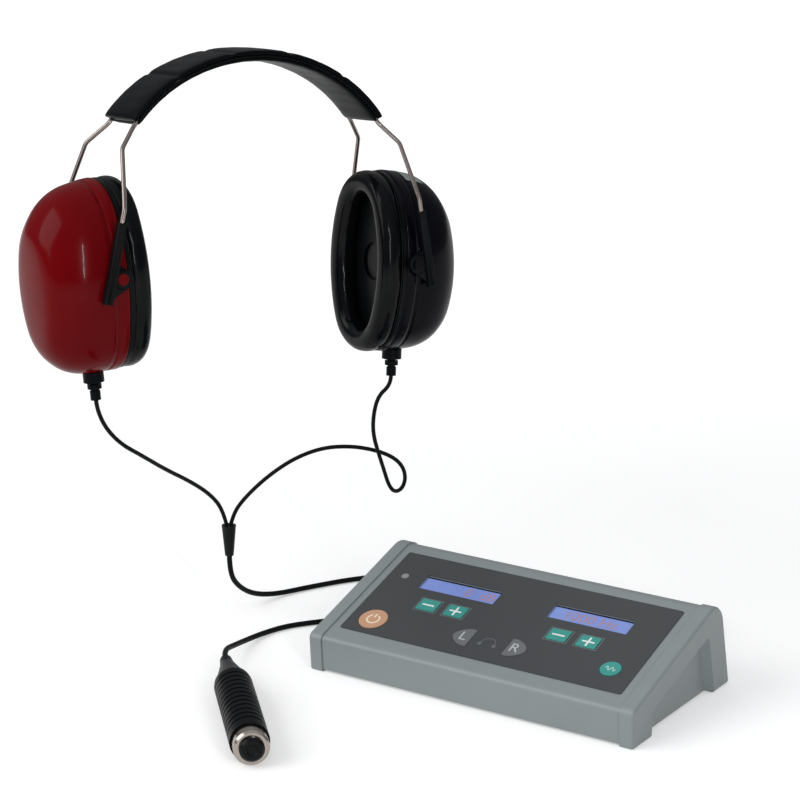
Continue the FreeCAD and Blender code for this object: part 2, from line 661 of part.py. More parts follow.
def board_screws():
    """Eight like screws: four hold the keypad board, four the main board."""
    screws = []
    for x, s in keypad_board_screws():
        low = -KEYPAD_BOARD_DROP - BOARD_THICKNESS - SCREW_HEAD_HEIGHT
        screws.append(on_face(machine_screw(x, s, low, BOARD_SCREW_RADIUS, BOARD_SCREW_LENGTH, 1)))
    top = FOOT_HEIGHT + BASE_THICKNESS + STANDOFF_HEIGHT + BOARD_THICKNESS + SCREW_HEAD_HEIGHT
    for x, y in standoff_spots():
        screws.append(machine_screw(x, y, top, BOARD_SCREW_RADIUS, BOARD_SCREW_LENGTH, -1))
    return Part.makeCompound(screws)


def socket_body(x, width, length):
    """A socket's housing, standing on the main board."""
    low = FOOT_HEIGHT + BASE_THICKNESS + STANDOFF_HEIGHT + BOARD_THICKNESS
    y = rear_face_y() - SOCKET_BODY_BACK
    return box(x - width / 2, x + width / 2, y - length, y, low, SOCKET_HEIGHT + width / 2)


def nut_seat():
    """How far behind the wall's face, at the socket axis, a square nut clears its lean."""
    return JACK_NUT_RADIUS * math.tan(math.radians(REAR_LEAN)) + FIT_GAP


def jack_sockets():
    sockets = []
    for x in (RESPONSE_SOCKET_X, HEADSET_SOCKET_X):
        body = socket_body(x, JACK_BODY_WIDTH, JACK_BODY_LENGTH)
        bush = rear_cylinder(x, JACK_BUSH_RADIUS, -SOCKET_BODY_BACK - 0.5, nut_seat())
        nut = rear_cylinder(x, JACK_NUT_RADIUS, nut_seat(), nut_seat() + JACK_NUT_THICKNESS)
        hole = rear_cylinder(x, JACK_RADIUS + JACK_GAP, -JACK_LENGTH - 2, 8)
        sockets.append(body.fuse([bush, nut]).cut(hole).removeSplitter())
    return Part.makeCompound(sockets)


def power_socket():
    body = socket_body(POWER_SOCKET_X, POWER_BODY_WIDTH, POWER_BORE_LENGTH + 3)
    bush = rear_cylinder(POWER_SOCKET_X, POWER_BUSH_RADIUS, -SOCKET_BODY_BACK - 0.5, POWER_BUSH_PROUD)
    hole = rear_cylinder(POWER_SOCKET_X, POWER_BORE_RADIUS, POWER_BUSH_PROUD - POWER_BORE_LENGTH, 2)
    return body.fuse(bush).cut(hole).removeSplitter()


def jack_plug(x):
    """Moulded plug: its shaft in the socket, its barrel behind the nut."""
    seat = nut_seat() + JACK_NUT_THICKNESS
    shaft = rear_cylinder(x, JACK_RADIUS, seat - JACK_LENGTH, seat + 1)
    barrel = rear_cylinder(x, PLUG_RADIUS, seat, seat + PLUG_BARREL_LENGTH)
    start = Vector(x, rear_face_y() + seat + PLUG_BARREL_LENGTH, SOCKET_HEIGHT)
    tail = Part.makeCone(PLUG_TAIL_RADIUS, CORD_RADIUS * 1.4, PLUG_TAIL_LENGTH, start, Vector(0, 1, 0))
    return shaft.fuse([barrel, tail]).removeSplitter()


def plug_end_y():
    return rear_face_y() + nut_seat() + JACK_NUT_THICKNESS + PLUG_BARREL_LENGTH + PLUG_TAIL_LENGTH


# ---- response handle -----------------------------------------------------------
def handle_placement():
    return Placement(Vector(HANDLE_AT[0], HANDLE_AT[1], GRIP_RADIUS),
                     Rotation(Vector(0, 0, 1), HANDLE_TURN))


def in_handle(shape):
    placed = shape.copy()
    placed.Placement = handle_placement().multiply(shape.Placement)
    return placed


def handle_grip():
    """Soft ribbed sleeve that tapers to the cord."""
    inner = GRIP_RADIUS - GRIP_WALL
    profile = [(0, CORD_RADIUS + FIT_GAP), (0, GRIP_TAIL_RADIUS), (GRIP_NECK, GRIP_NECK_RADIUS)]
    profile += [(GRIP_SHOULDER + along, GRIP_RADIUS - below) for along, below in GRIP_SHOULDER_STEPS]
    profile += [(GRIP_END, GRIP_RADIUS), (GRIP_END, inner), (core_start(), inner),
                (core_start() - GRIP_WALL, CORD_RADIUS + FIT_GAP)]
    grip = revolve_profile(profile)
    for i in range(RIB_COUNT):
        x = RIB_START + i * RIB_PITCH
        ring = Part.makeCylinder(GRIP_RADIUS + 1, RIB_WIDTH, Vector(x, 0, 0), Vector(1, 0, 0))
        core = Part.makeCylinder(GRIP_RADIUS - RIB_DEPTH, RIB_WIDTH, Vector(x, 0, 0), Vector(1, 0, 0))
        grip = grip.cut(ring.cut(core))
    return in_handle(grip)


def core_radius():
    return GRIP_RADIUS - GRIP_WALL


def core_start():
    """The core begins where the grip has its full radius."""
    return GRIP_SHOULDER + GRIP_SHOULDER_STEPS[-1][0]


def handle_core():
    """Hard tube inside the grip that carries the switch and the bezel."""
    bore = BUTTON_RADIUS + BUTTON_GAP
    start = core_start()
    tube = Part.makeCylinder(core_radius(), GRIP_END - start, Vector(start, 0, 0), Vector(1, 0, 0))
    seat = switch_x() - FIT_GAP
    tube = tube.cut(Part.makeCylinder(bore, HANDLE_LENGTH, Vector(seat, 0, 0), Vector(1, 0, 0)))
    channel = Part.makeCylinder(CORD_RADIUS + FIT_GAP, HANDLE_LENGTH, Vector(0, 0, 0), Vector(1, 0, 0))
    half = SWITCH_HALF_WIDTH + FIT_GAP
    pocket = box(seat - SWITCH_LENGTH, seat + 1, -half, half, -half, half)
    return in_handle(tube.cut(channel).cut(pocket))


def handle_bezel():
    """Plated ring that closes the button end."""
    end = HANDLE_LENGTH
    inner = BUTTON_RADIUS + BUTTON_GAP
    profile = [(GRIP_END, inner), (GRIP_END, BEZEL_RADIUS), (end - BEZEL_CHAMFER, BEZEL_RADIUS),
               (end, BEZEL_RADIUS - BEZEL_CHAMFER), (end, inner)]
    return in_handle(revolve_profile(profile))


def skirt_x():
    """Inner end of the button's skirt."""
    return GRIP_END - BUTTON_SKIRT


def handle_button():
    """Push button with a raised ring round its dimple and a skirt in the core's bore."""
    front = HANDLE_LENGTH + BUTTON_PROUD
    floor = front - BUTTON_DIMPLE_DEPTH
    profile = [(skirt_x(), 0), (skirt_x(), BUTTON_RADIUS), (front - BUTTON_CHAMFER, BUTTON_RADIUS),
               (front, BUTTON_RADIUS - BUTTON_CHAMFER), (front, BUTTON_DIMPLE + BUTTON_DIMPLE_DEPTH),
               (floor, BUTTON_DIMPLE), (floor, 0)]
    return in_handle(revolve_profile(profile))


def switch_x():
    """Front of the switch block's housing."""
    return GRIP_END - SWITCH_DROP + FIT_GAP


def button_spring():
    """Return spring between the switch block and the button's skirt."""
    start = switch_x() + PIECE_GAP
    end = skirt_x() - PIECE_GAP
    length = end - start - SPRING_WIRE
    radius = BUTTON_RADIUS - 2 * SPRING_WIRE
    count = SPRING_TURNS * SPRING_CORNERS
    corners = []
    for i in range(count + 1):
        angle = 2 * math.pi * i / SPRING_CORNERS
        along = start + SPRING_WIRE / 2 + length * i / count
        corners.append(Vector(along, radius * math.cos(angle), radius * math.sin(angle)))
    run = (corners[1] - corners[0]).Length
    bend = 0.45 * run / math.tan(math.pi / SPRING_CORNERS)
    stops = [(corners[0], 0)] + [(corner, bend) for corner in corners[1:-1]] + [(corners[-1], 0)]
    return in_handle(swept_tube(route_wire(stops), SPRING_WIRE / 2))


def switch_block():
    """Micro-switch in the core's pocket, with its plunger inside the spring."""
    half = SWITCH_HALF_WIDTH
    end = switch_x()
    body = box(end - SWITCH_LENGTH + FIT_GAP, end, -half, half, -half, half)
    plunger_end = skirt_x() - BUTTON_TRAVEL - SWITCH_PLUNGER_GAP
    plunger = Part.makeCylinder(SWITCH_PLUNGER_RADIUS, plunger_end - end, Vector(end, 0, 0),
                                Vector(1, 0, 0))
    return in_handle(body.fuse(plunger).removeSplitter())


# ---- headset ---------------------------------------------------------------------
def head_placement():
    turn = Rotation(Vector(0, 0, 1), HEAD_TURN).multiply(Rotation(Vector(0, 1, 0), HEAD_LEAN))
    return Placement(Vector(*HEAD_AT), turn.multiply(Rotation(Vector(1, 0, 0), -HEAD_BACK)))


def in_head(shape):
    placed = shape.copy()
    placed.Placement = head_placement().multiply(shape.Placement)
    return placed


def head_point(x, y, z):
    return head_placement().multVec(Vector(x, y, z))


def band_point(side, angle, depth):
    """A point on the band's arc, (x, z): angle from the top in degrees, depth below the outside."""
    turn = math.radians(angle)
    crown = math.radians(BAND_CROWN_HALF_ANGLE)
    if angle <= BAND_CROWN_HALF_ANGLE:
        radius = BAND_CROWN_RADIUS - depth
        return side * radius * math.sin(turn), BAND_TOP - BAND_CROWN_RADIUS + radius * math.cos(turn)
    reach = BAND_CROWN_RADIUS - BAND_SIDE_RADIUS
    radius = BAND_SIDE_RADIUS - depth
    x = reach * math.sin(crown) + radius * math.sin(turn)
    z = BAND_TOP - BAND_CROWN_RADIUS + reach * math.cos(crown) + radius * math.cos(turn)
    return side * x, z


def band_layer(outer, inner, width, end_angle):
    """A strip that follows the band between two depths."""
    def point(side, angle, depth):
        x, z = band_point(side, angle, depth)
        return Vector(x, 0, z)

    def arcs(depth):
        crown = BAND_CROWN_HALF_ANGLE
        middle = (crown + end_angle) / 2
        return [
            Part.Arc(point(-1, end_angle, depth), point(-1, middle, depth), point(-1, crown, depth)),
            Part.Arc(point(-1, crown, depth), point(1, 0, depth), point(1, crown, depth)),
            Part.Arc(point(1, crown, depth), point(1, middle, depth), point(1, end_angle, depth)),
        ]

    edges = [arc.toShape() for arc in arcs(outer) + arcs(inner)]
    for side in (-1, 1):
        edges.append(Part.LineSegment(point(side, end_angle, outer), point(side, end_angle, inner)).toShape())
    wire = Part.Wire(Part.__sortEdges__(edges))
    strip = Part.Face(wire).extrude(Vector(0, width, 0))
    strip.translate(Vector(0, -width / 2, 0))
    return strip


def band_cover():
    """Outer vinyl cover of the headband."""
    return in_head(band_layer(0, COVER_THICKNESS, BAND_WIDTH, BAND_END_ANGLE))


def wire_direction():
    lean = math.radians(SLIDER_LEAN)
    return Vector(math.sin(lean), 0, -math.cos(lean))


def slider_top():
    return Vector(PIVOT_HALF_SPAN + SLIDER_TOP_OUT, 0, SLIDER_TOP_Z)


def headband_wire_path(front):
    """Stops along one spring wire, from the right slider over the head to the left one."""
    y_side = -1 if front else 1
    y_band = y_side * WIRE_HALF_SPACING
    y_slider = y_side * SLIDER_AXIS_Y
    lean = wire_direction()
    top = slider_top() + Vector(0, y_slider, 0)
    end = top + lean * (SLIDER_LENGTH - SLIDER_END_GAP)
    entry = top - lean * 8
    half = []
    exit_x, exit_z = band_point(1, BAND_END_ANGLE, WIRE_DEPTH)
    half.append((end, 0))
    half.append((entry, 6))
    for (inwards, forward, z), bend in WIRE_BENDS:
        half.append((Vector(PIVOT_HALF_SPAN - inwards, y_side * forward, z), bend))
    half.append((Vector(exit_x + 1.4, y_band, exit_z - 2.6), 8))
    crown = math.radians(BAND_CROWN_HALF_ANGLE)
    half_turn = math.radians(BAND_END_ANGLE - BAND_CROWN_HALF_ANGLE) / 2
    side_radius = BAND_SIDE_RADIUS - WIRE_DEPTH
    stretch = BAND_SIDE_RADIUS - side_radius / math.cos(half_turn)
    corner_x, corner_z = band_point(1, (BAND_CROWN_HALF_ANGLE + BAND_END_ANGLE) / 2, stretch)
    half.append((Vector(corner_x, y_band, corner_z), side_radius))
    crown_radius = BAND_CROWN_RADIUS - WIRE_DEPTH
    peak = BAND_TOP - BAND_CROWN_RADIUS + crown_radius / math.cos(crown)
    mirrored = [(Vector(-p.x, p.y, p.z), r) for p, r in half]
    return mirrored + [(Vector(0, y_band, peak), crown_radius)] + half[::-1]


def headband_wire(front, growth=0.0):
    return swept_tube(route_wire(headband_wire_path(front)), WIRE_RADIUS + growth)


def head_pad():
    """Foam pad under the cover, with channels for the two wires."""
    pad = band_layer(COVER_THICKNESS, COVER_THICKNESS + PAD_THICKNESS, PAD_WIDTH, BAND_END_ANGLE)
    for front in (True, False):
        pad = pad.cut(headband_wire(front, WIRE_GAP))
    return in_head(pad)


def mirrored_if(shape, side):
    return shape if side > 0 else shape.mirror(Vector(), Vector(1, 0, 0))


def tilt_placement(side):
    """The cup's tilt about its pivots, in the left half's frame."""
    return Placement(Vector(), Rotation(Vector(0, 1, 0), CUP_TILT[side]), Vector(PIVOT_HALF_SPAN, 0, 0))


def in_cup(shape, side):
    """Puts a piece of the upright left cup in its place on the given side."""
    placed = shape.copy()
    placed.Placement = tilt_placement(side).multiply(shape.Placement)
    return in_head(mirrored_if(placed, side))


def slider(side, front):
    """Slider bar on one wire, with the hub that carries the cup's pivot."""
    y_side = -1 if front else 1
    inner_y = SLIDER_AXIS_Y - SLIDER_THICKNESS / 2
    outer_y = SLIDER_AXIS_Y + SLIDER_THICKNESS / 2
    lean = wire_direction()
    top = slider_top()
    bottom = top + lean * SLIDER_LENGTH
    across = Vector(lean.z, 0, -lean.x) * (SLIDER_WIDTH / 2)
    outline = [top + across, bottom + across, bottom - across, top - across]
    bar = Part.Face(Part.makePolygon(outline + outline[:1])).extrude(Vector(0, outer_y - inner_y, 0))
    hub = Part.makeCylinder(HUB_RADIUS, HUB_THICKNESS, Vector(PIVOT_HALF_SPAN, 0, 0), Vector(0, 1, 0))
    upper = top + lean * WEB_TOP
    lower = top + lean * WEB_LOW
    tangent = Vector(PIVOT_HALF_SPAN - HUB_RADIUS * 0.96, 0, -HUB_RADIUS * 0.28)
    above = Vector(PIVOT_HALF_SPAN - HUB_RADIUS * 0.8, 0, HUB_RADIUS * 0.6)
    web_outline = [upper, lower, tangent, above]
    web = Part.Face(Part.makePolygon(web_outline + web_outline[:1]))
    web = web.extrude(Vector(0, WEB_THICKNESS, 0))
    body = bar.fuse([hub, web]).removeSplitter()
    body.translate(Vector(0, inner_y, 0))
    body = body.cut(Part.makeCylinder(PIN_RADIUS + PIN_GAP, 3 * SLIDER_THICKNESS,
                                      Vector(PIVOT_HALF_SPAN, inner_y - SLIDER_THICKNESS, 0),
                                      Vector(0, 1, 0)))
    bore_top = Vector(top.x, SLIDER_AXIS_Y, top.z) - lean * 2
    bore = rod(WIRE_RADIUS + SLIDER_BORE_GAP, bore_top, bore_top + lean * (SLIDER_LENGTH + 6))
    body = body.cut(bore)
    if front:
        body = body.mirror(Vector(), Vector(0, 1, 0))
    return in_head(mirrored_if(body, side))


def pivot_pins(side):
    """The two rivets on which a cup tilts."""
    pins = []
    for y_side in (-1, 1):
        y_in = CUP_HALF_WIDTH - CUP_WALL
        y_out = SLIDER_AXIS_Y - SLIDER_THICKNESS / 2 + HUB_THICKNESS + PIN_PROUD
        pin = Part.makeCylinder(PIN_RADIUS, y_out - y_in, Vector(PIVOT_HALF_SPAN, y_side * y_in, 0),
                                Vector(0, y_side, 0))
        pins.append(in_head(mirrored_if(pin, side)))
    return Part.makeCompound(pins)


def oval(scale, inset, x, sag=0.0):
    """The cup's oval outline at one depth: two flat and two round arcs."""
    half_w = CUP_HALF_WIDTH * scale - inset
    half_h = CUP_HALF_HEIGHT * scale - inset
    end_r = CUP_END_RADIUS * scale - inset
    # the side arc is tangent to the end arcs
    rise = half_h - end_r
    side_r = (half_w ** 2 + rise ** 2 - end_r ** 2) / (2 * (half_w - end_r))
    offset = side_r - half_w
    turn = math.atan2(rise, offset)
    tangent = Vector(-offset + side_r * math.cos(turn), side_r * math.sin(turn), 0)
    a, b = tangent.x, tangent.y
    right = Part.Arc(Vector(a, -b, 0), Vector(half_w, 0, 0), Vector(a, b, 0))
    top = Part.Arc(Vector(a, b, 0), Vector(0, half_h, 0), Vector(-a, b, 0))
    left = Part.Arc(Vector(-a, b, 0), Vector(-half_w, 0, 0), Vector(-a, -b, 0))
    low = Part.Arc(Vector(-a, -b, 0), Vector(0, -half_h, 0), Vector(a, -b, 0))
    wire = Part.Wire([arc.toShape() for arc in (right, top, left, low)])
    wire.Placement = Placement(Vector(x, 0, -CUP_DROP - sag), Rotation(Vector(1, 1, 1), 120))
    return wire


def rim_x():
    return PIVOT_HALF_SPAN - CUP_RIM_INSIDE


# how the cup's outline shrinks towards its outer face: share of depth, scale
CUP_SHAPE = ((0.0, 1.0), (0.25, 0.985), (0.5, 0.955), (0.7, 0.875), (0.85, 0.745), (0.95, 0.59),
             (1.0, 0.44))


def cup_scale(share):
    """The scale of the cup's outline at a share of its depth."""
    for (low, wide), (high, narrow) in zip(CUP_SHAPE, CUP_SHAPE[1:]):
        if share <= high:
            return wide + (narrow - wide) * (share - low) / (high - low)


def cup_form(inset, depth):
    sections = [oval(scale, inset, rim_x() + share * depth, CUP_SAG * share ** 2)
                for share, scale in CUP_SHAPE]
    return Part.makeLoft(sections, True, False)


def cup_shell(side):
    """Moulded cup, open towards the head."""
    shell = cup_form(0, CUP_DEPTH)
    shell = shell.cut(cup_form(CUP_WALL, CUP_DEPTH - CUP_WALL))
    seam = cup_scale(CUP_SEAM / CUP_DEPTH)
    groove = prism_x(oval(seam, -SEAM_DEPTH, rim_x() + CUP_SEAM), SEAM_WIDTH)
    keep = prism_x(oval(seam, SEAM_DEPTH, rim_x() + CUP_SEAM - SEAM_WIDTH), 3 * SEAM_WIDTH)
    shell = shell.cut(groove.cut(keep))
    for y_side in (-1, 1):
        hole = Part.makeCylinder(PIN_RADIUS, CUP_HALF_WIDTH, Vector(PIVOT_HALF_SPAN, 0, 0),
                                 Vector(0, y_side, 0))
        shell = shell.cut(hole)
    spot = relief_top()
    reach = Vector(0, 0, RELIEF_LENGTH / 2)
    shell = shell.cut(rod(RELIEF_COLLAR_RADIUS * 0.55, spot + reach, spot - reach))
    return in_cup(shell, side)


def prism_x(wire, length):
    return Part.Face(wire).extrude(Vector(length, 0, 0))


def back_plate(side):
    """Ring plate across the shell's mouth: it carries the cushion and the driver."""
    x = rim_x() - BACK_PLATE_THICKNESS
    plate = prism_x(oval(1.0, CUSHION_INSET, x), BACK_PLATE_THICKNESS)
    hole = Part.makeCylinder(DRIVER_RADIUS * 0.7, 3 * BACK_PLATE_THICKNESS,
                             Vector(x - BACK_PLATE_THICKNESS, 0, -CUP_DROP), Vector(1, 0, 0))
    return in_cup(plate.cut(hole), side)


def cushion(side):
    """Foam-filled ring cushion."""
    x = rim_x() - BACK_PLATE_THICKNESS - CUSHION_THICKNESS
    ring = prism_x(oval(1.0, CUSHION_INSET, x), CUSHION_THICKNESS)
    edges = [edge for edge in ring.Edges if all(abs(v.Point.x - x) < 0.001 for v in edge.Vertexes)]
    ring = ring.makeFillet(CUSHION_WIDTH * 0.42, edges)
    ring = ring.cut(prism_x(oval(1.0, CUSHION_WIDTH, x - 1), CUSHION_THICKNESS + 2))
    return in_cup(ring, side)


def liner(side):
    """Sound-absorbing foam against the inside of the cup."""
    depth = CUP_DEPTH * LINER_DEPTH
    x = rim_x() + LINER_START
    hollow = CUP_WALL + LINER_THICKNESS
    foam = prism_x(oval(LINER_SCALE, CUP_WALL, x), depth)
    foam = foam.cut(prism_x(oval(LINER_SCALE, hollow, x - LINER_THICKNESS), depth))
    return in_cup(foam, side)


def driver(side):
    """Earphone driver on the back plate, facing the ear."""
    x = rim_x()
    body = Part.makeCylinder(DRIVER_RADIUS, DRIVER_THICKNESS, Vector(x, 0, -CUP_DROP), Vector(1, 0, 0))
    return in_cup(body, side)


def relief_top():
    """Where the cord leaves the cup's underside, in the left cup."""
    share = (RELIEF_OUT + CUP_RIM_INSIDE) / CUP_DEPTH
    z = -CUP_DROP - CUP_SAG * share ** 2 - CUP_HALF_HEIGHT * cup_scale(share)
    return Vector(PIVOT_HALF_SPAN + RELIEF_OUT, 0, z)


def cup_relief(side):
    """Notched rubber strain relief under the cup."""
    top = relief_top()
    collar = RELIEF_COLLAR_RADIUS
    steps = ((0.0, 0.36, 1.0), (0.44, 0.60, 0.68), (0.68, 1.0, 0.5))
    solid = rod(collar * 0.4, top, top - Vector(0, 0, RELIEF_LENGTH))
    for start, end, share in steps:
        solid = solid.fuse(rod(collar * share, top - Vector(0, 0, start * RELIEF_LENGTH),
                               top - Vector(0, 0, end * RELIEF_LENGTH)))
    # the collar follows the cup's underside, and a neck passes through its wall
    solid = solid.cut(cup_form(0, CUP_DEPTH))
    solid = solid.fuse(rod(collar * 0.5, top + Vector(0, 0, 3), top - Vector(0, 0, 5)))
    solid = solid.cut(rod(LEAD_RADIUS, top + Vector(0, 0, 4), top - Vector(0, 0, RELIEF_LENGTH - 6)))
    return in_cup(solid.removeSplitter(), side)


def relief_end(side, below=0.0):
    """The cord's end of a strain relief, or a point straight below it."""
    low = tilt_placement(side).multVec(relief_top() - Vector(0, 0, RELIEF_LENGTH + below))
    return head_point(side * low.x, low.y, low.z)


def y_joint():
    """Moulded piece where the two cup leads become one cord."""
    top = Vector(*Y_JOINT_AT)
    low = top - Vector(0, 0, Y_JOINT_LENGTH)
    body = Part.makeCone(Y_JOINT_RADIUS * 0.6, Y_JOINT_RADIUS, Y_JOINT_LENGTH, low)
    return body


# ---- cord routes --------------------------------------------------------------------
CORD_PIECES = ("right_lead", "left_lead", "y_joint", "headset_cord", "headset_coil", "headset_plug",
               "response_cord", "response_coil", "response_plug")
# Each cord starts with a straight run out of its relief, joint or plug, this long:
LEAD_EXIT = 6.0
CORD_EXIT = 12.0
RIGHT_LEAD_ROUTE = [(-216.6, -115.5, 147.0), (-213.8, -105.0, 135.0), (-211.2, -91.0, 125.5),
                    (-212.0, -67.0, 110.0), (-211.2, -45.0, 97.0), (-209.5, -27.5, 84.5),
                    (-207.2, -17.0, 72.0)]
LEFT_LEAD_ROUTE = [(-139.6, 58.2, 138.5), (-142.2, 56.5, 126.0), (-142.0, 55.8, 113.5),
                   (-138.0, 56.0, 101.5), (-134.0, 56.5, 90.5), (-131.5, 57.5, 81.5), (-130.5, 62.5, 75.2),
                   (-130.0, 70.4, 74.8), (-130.5, 76.2, 80.1), (-133.0, 77.0, 88.0),
                   (-138.5, 73.5, 94.5), (-147.0, 66.0, 99.5), (-157.5, 54.0, 103.5),
                   (-169.0, 38.5, 104.5), (-180.0, 22.0, 99.5), (-190.0, 6.5, 89.5),
                   (-199.5, -4.0, 77.0), (-204.3, -9.5, 67.5)]
HEADSET_CORD_ROUTE = [(-205.5, -5.0, 17.0), (-204.0, 9.0, 7.5), (-200.0, 28.0, 2.4),
                      (-191.0, 52.0, 1.8), (-174.0, 84.0, 1.8), (-146.0, 114.0, 1.8),
                      (-108.0, 135.0, 1.8), (-62.0, 145.0, 1.8), (-24.0, 146.0, 1.8),
                      (10.0, 139.5, 2.6)]
RESPONSE_CORD_ROUTE = [(-160.4, -66.5, 7.0), (-164.8, -49.0, 3.6), (-165.5, -31.0, 2.0),
                       (-161.0, -13.5, 1.8), (-150.5, 1.5, 1.8), (-138.0, 16.5, 1.8),
                       (-129.5, 34.0, 1.8), (-125.0, 55.0, 1.8), (-113.0, 76.0, 1.8),
                       (-91.0, 88.0, 1.8), (-64.0, 91.0, 2.4)]
RESPONSE_TAIL_ROUTE = [(-70.5, 120.5, 14.5), (-58.5, 129.5, 11.5)]
HEADSET_TAIL_ROUTE = [(9.0, 120.5, 14.5), (19.5, 129.5, 11.5)]


def coil_entry(centre, x_shift, y_side):
    """A point in the middle of a coil's bundle."""
    y = centre[1] + y_side * math.sqrt(COIL_RADIUS ** 2 - x_shift ** 2)
    return (centre[0] + x_shift, y, COIL_BUNDLE_RADIUS * 0.8)


def cords():
    """Every free cord, from its exit to its coil or its far end."""
    joint = Vector(*Y_JOINT_AT)
    joint_low = joint - Vector(0, 0, Y_JOINT_LENGTH)
    handle = handle_placement()
    lead_ends = {"right_lead": joint + Vector(-0.4, -1.6, 0), "left_lead": joint + Vector(0.4, 1.6, 0)}
    tubes = {}
    for name, side, route in (("right_lead", -1, RIGHT_LEAD_ROUTE), ("left_lead", 1, LEFT_LEAD_ROUTE)):
        points = [relief_end(side), relief_end(side, LEAD_EXIT)] + route + [lead_ends[name]]
        tubes[name] = [cord_tube(name, points, LEAD_RADIUS)]
    starts = {
        "headset_cord": (joint_low, joint_low - Vector(0, 0, CORD_EXIT), HEADSET_CORD_ROUTE,
                         coil_entry(HEADSET_COIL_AT, -3.0, 1)),
        "response_cord": (handle.multVec(Vector()), handle.multVec(Vector(-CORD_EXIT * 1.4, 0, 0)),
                          RESPONSE_CORD_ROUTE, coil_entry(RESPONSE_COIL_AT, -2.0, -1)),
    }
    tails = {
        "headset_cord": (HEADSET_SOCKET_X, HEADSET_TAIL_ROUTE, HEADSET_COIL_AT),
        "response_cord": (RESPONSE_SOCKET_X, RESPONSE_TAIL_ROUTE, RESPONSE_COIL_AT),
    }
    for name, (start, straight, route, end) in starts.items():
        x, tail_route, coil_at = tails[name]
        plug = Vector(x, plug_end_y(), SOCKET_HEIGHT)
        tail = [plug, plug + Vector(0, CORD_EXIT, 0)] + tail_route + [coil_entry(coil_at, -9.0, 1)]
        tubes[name] = [cord_tube(name, [start, straight] + route + [end], CORD_RADIUS),
                       cord_tube(name + " behind the console", tail, CORD_RADIUS)]
    return tubes


def build():
    keys = key_outlines()
    nodes = {
        "body_shell": console_case(keys),
        "base_plate": base_plate(),
        "left_cheek": cheek(-1),
        "right_cheek": cheek(1),
        "keypad_film": keypad_film(keys),
        "keypad_board": keypad_board(),
        "dome_switches": dome_switches(keys),
        "level_display": lcd_module(LCD_LEFT),
        "pitch_display": lcd_module(LCD_RIGHT),
        "status_light": light_lens(),
        "main_board": main_board(),
        "base_screws": base_screws(),
        "board_screws": board_screws(),
        "jack_sockets": jack_sockets(),
        "power_socket": power_socket(),
        "headset_plug": jack_plug(HEADSET_SOCKET_X),
        "response_plug": jack_plug(RESPONSE_SOCKET_X),
        "handle_grip": handle_grip(),
        "handle_core": handle_core(),
        "handle_bezel": handle_bezel(),
        "handle_button": handle_button(),
        "button_spring": button_spring(),
        "switch_block": switch_block(),
        "band_cover": band_cover(),
        "head_pad": head_pad(),
        "front_wire": in_head(headband_wire(True)),
        "rear_wire": in_head(headband_wire(False)),
        "y_joint": y_joint(),
        "headset_coil": coil(HEADSET_COIL_AT),
        "response_coil": coil(RESPONSE_COIL_AT),
    }
    for name, (outline, centre) in keys.items():
        nodes[name] = key(outline, centre)
    for side, word in ((1, "left"), (-1, "right")):
        nodes[word + "_front_slider"] = slider(side, True)
        nodes[word + "_rear_slider"] = slider(side, False)
        nodes[word + "_pivot_pins"] = pivot_pins(side)
        nodes[word + "_cup_shell"] = cup_shell(side)
        nodes[word + "_back_plate"] = back_plate(side)
        nodes[word + "_cushion"] = cushion(side)
        nodes[word + "_liner"] = liner(side)
        nodes[word + "_driver"] = driver(side)
        nodes[word + "_relief"] = cup_relief(side)
    for name, tubes in cords().items():
        nodes[name] = tubes[0] if len(tubes) == 1 else Part.makeCompound(tubes)
    return nodes


def table_centre(nodes):
    """The table point under the middle of the part without its free cords."""
    bounds = FreeCAD.BoundBox()
    for name, shape in nodes.items():
        if name not in CORD_PIECES:
            bounds.add(shape.optimalBoundingBox())
    return Vector(bounds.Center.x, bounds.Center.y, 0)


NODES = build()
CENTRE = table_centre(NODES)
os.makedirs("parts", exist_ok=True)
for node, shape in NODES.items():
    shape.translate(-CENTRE)
    shape.exportStep("parts/" + node + ".step")
    print(node, len(shape.Solids), round(shape.Volume), shape.isValid())
print("console middle at", -CENTRE)
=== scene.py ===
import math

import bpy
from mathutils import Matrix, Vector


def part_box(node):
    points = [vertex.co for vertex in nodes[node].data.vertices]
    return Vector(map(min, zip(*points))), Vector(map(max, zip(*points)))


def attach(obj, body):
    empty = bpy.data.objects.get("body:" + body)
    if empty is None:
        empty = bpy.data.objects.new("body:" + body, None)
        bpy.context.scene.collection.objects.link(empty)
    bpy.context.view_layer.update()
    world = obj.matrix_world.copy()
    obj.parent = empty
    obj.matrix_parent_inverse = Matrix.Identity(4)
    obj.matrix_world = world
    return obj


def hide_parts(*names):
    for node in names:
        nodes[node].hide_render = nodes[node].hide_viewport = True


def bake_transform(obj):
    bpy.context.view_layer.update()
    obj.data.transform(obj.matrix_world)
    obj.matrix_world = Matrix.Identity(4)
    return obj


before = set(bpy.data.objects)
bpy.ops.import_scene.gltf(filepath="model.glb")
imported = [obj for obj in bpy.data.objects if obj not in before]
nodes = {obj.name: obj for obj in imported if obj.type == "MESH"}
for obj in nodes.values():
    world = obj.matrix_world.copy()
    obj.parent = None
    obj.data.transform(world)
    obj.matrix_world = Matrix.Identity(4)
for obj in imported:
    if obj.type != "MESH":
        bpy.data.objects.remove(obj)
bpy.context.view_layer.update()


# ---- Camera ----------------------------------------------------------------
# A long lens from the operator's right, a little above the headset's cups. It is set
# from the console's middle on the table, and so are cords and prints. The headset
# cord's coil is laid out from that point, so the coil's box gives it.
HEADSET_COIL_AT = Vector((0.038, 0.112, 0))
CAMERA_AT = Vector((0.6890, -1.1727, 0.5510))
CAMERA_DOWN = math.radians(15.634)
CAMERA_TURN = math.radians(33.414)
coil_low, coil_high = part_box("headset_coil")
console_at = (coil_low + coil_high) / 2 - HEADSET_COIL_AT
console_at.z = 0
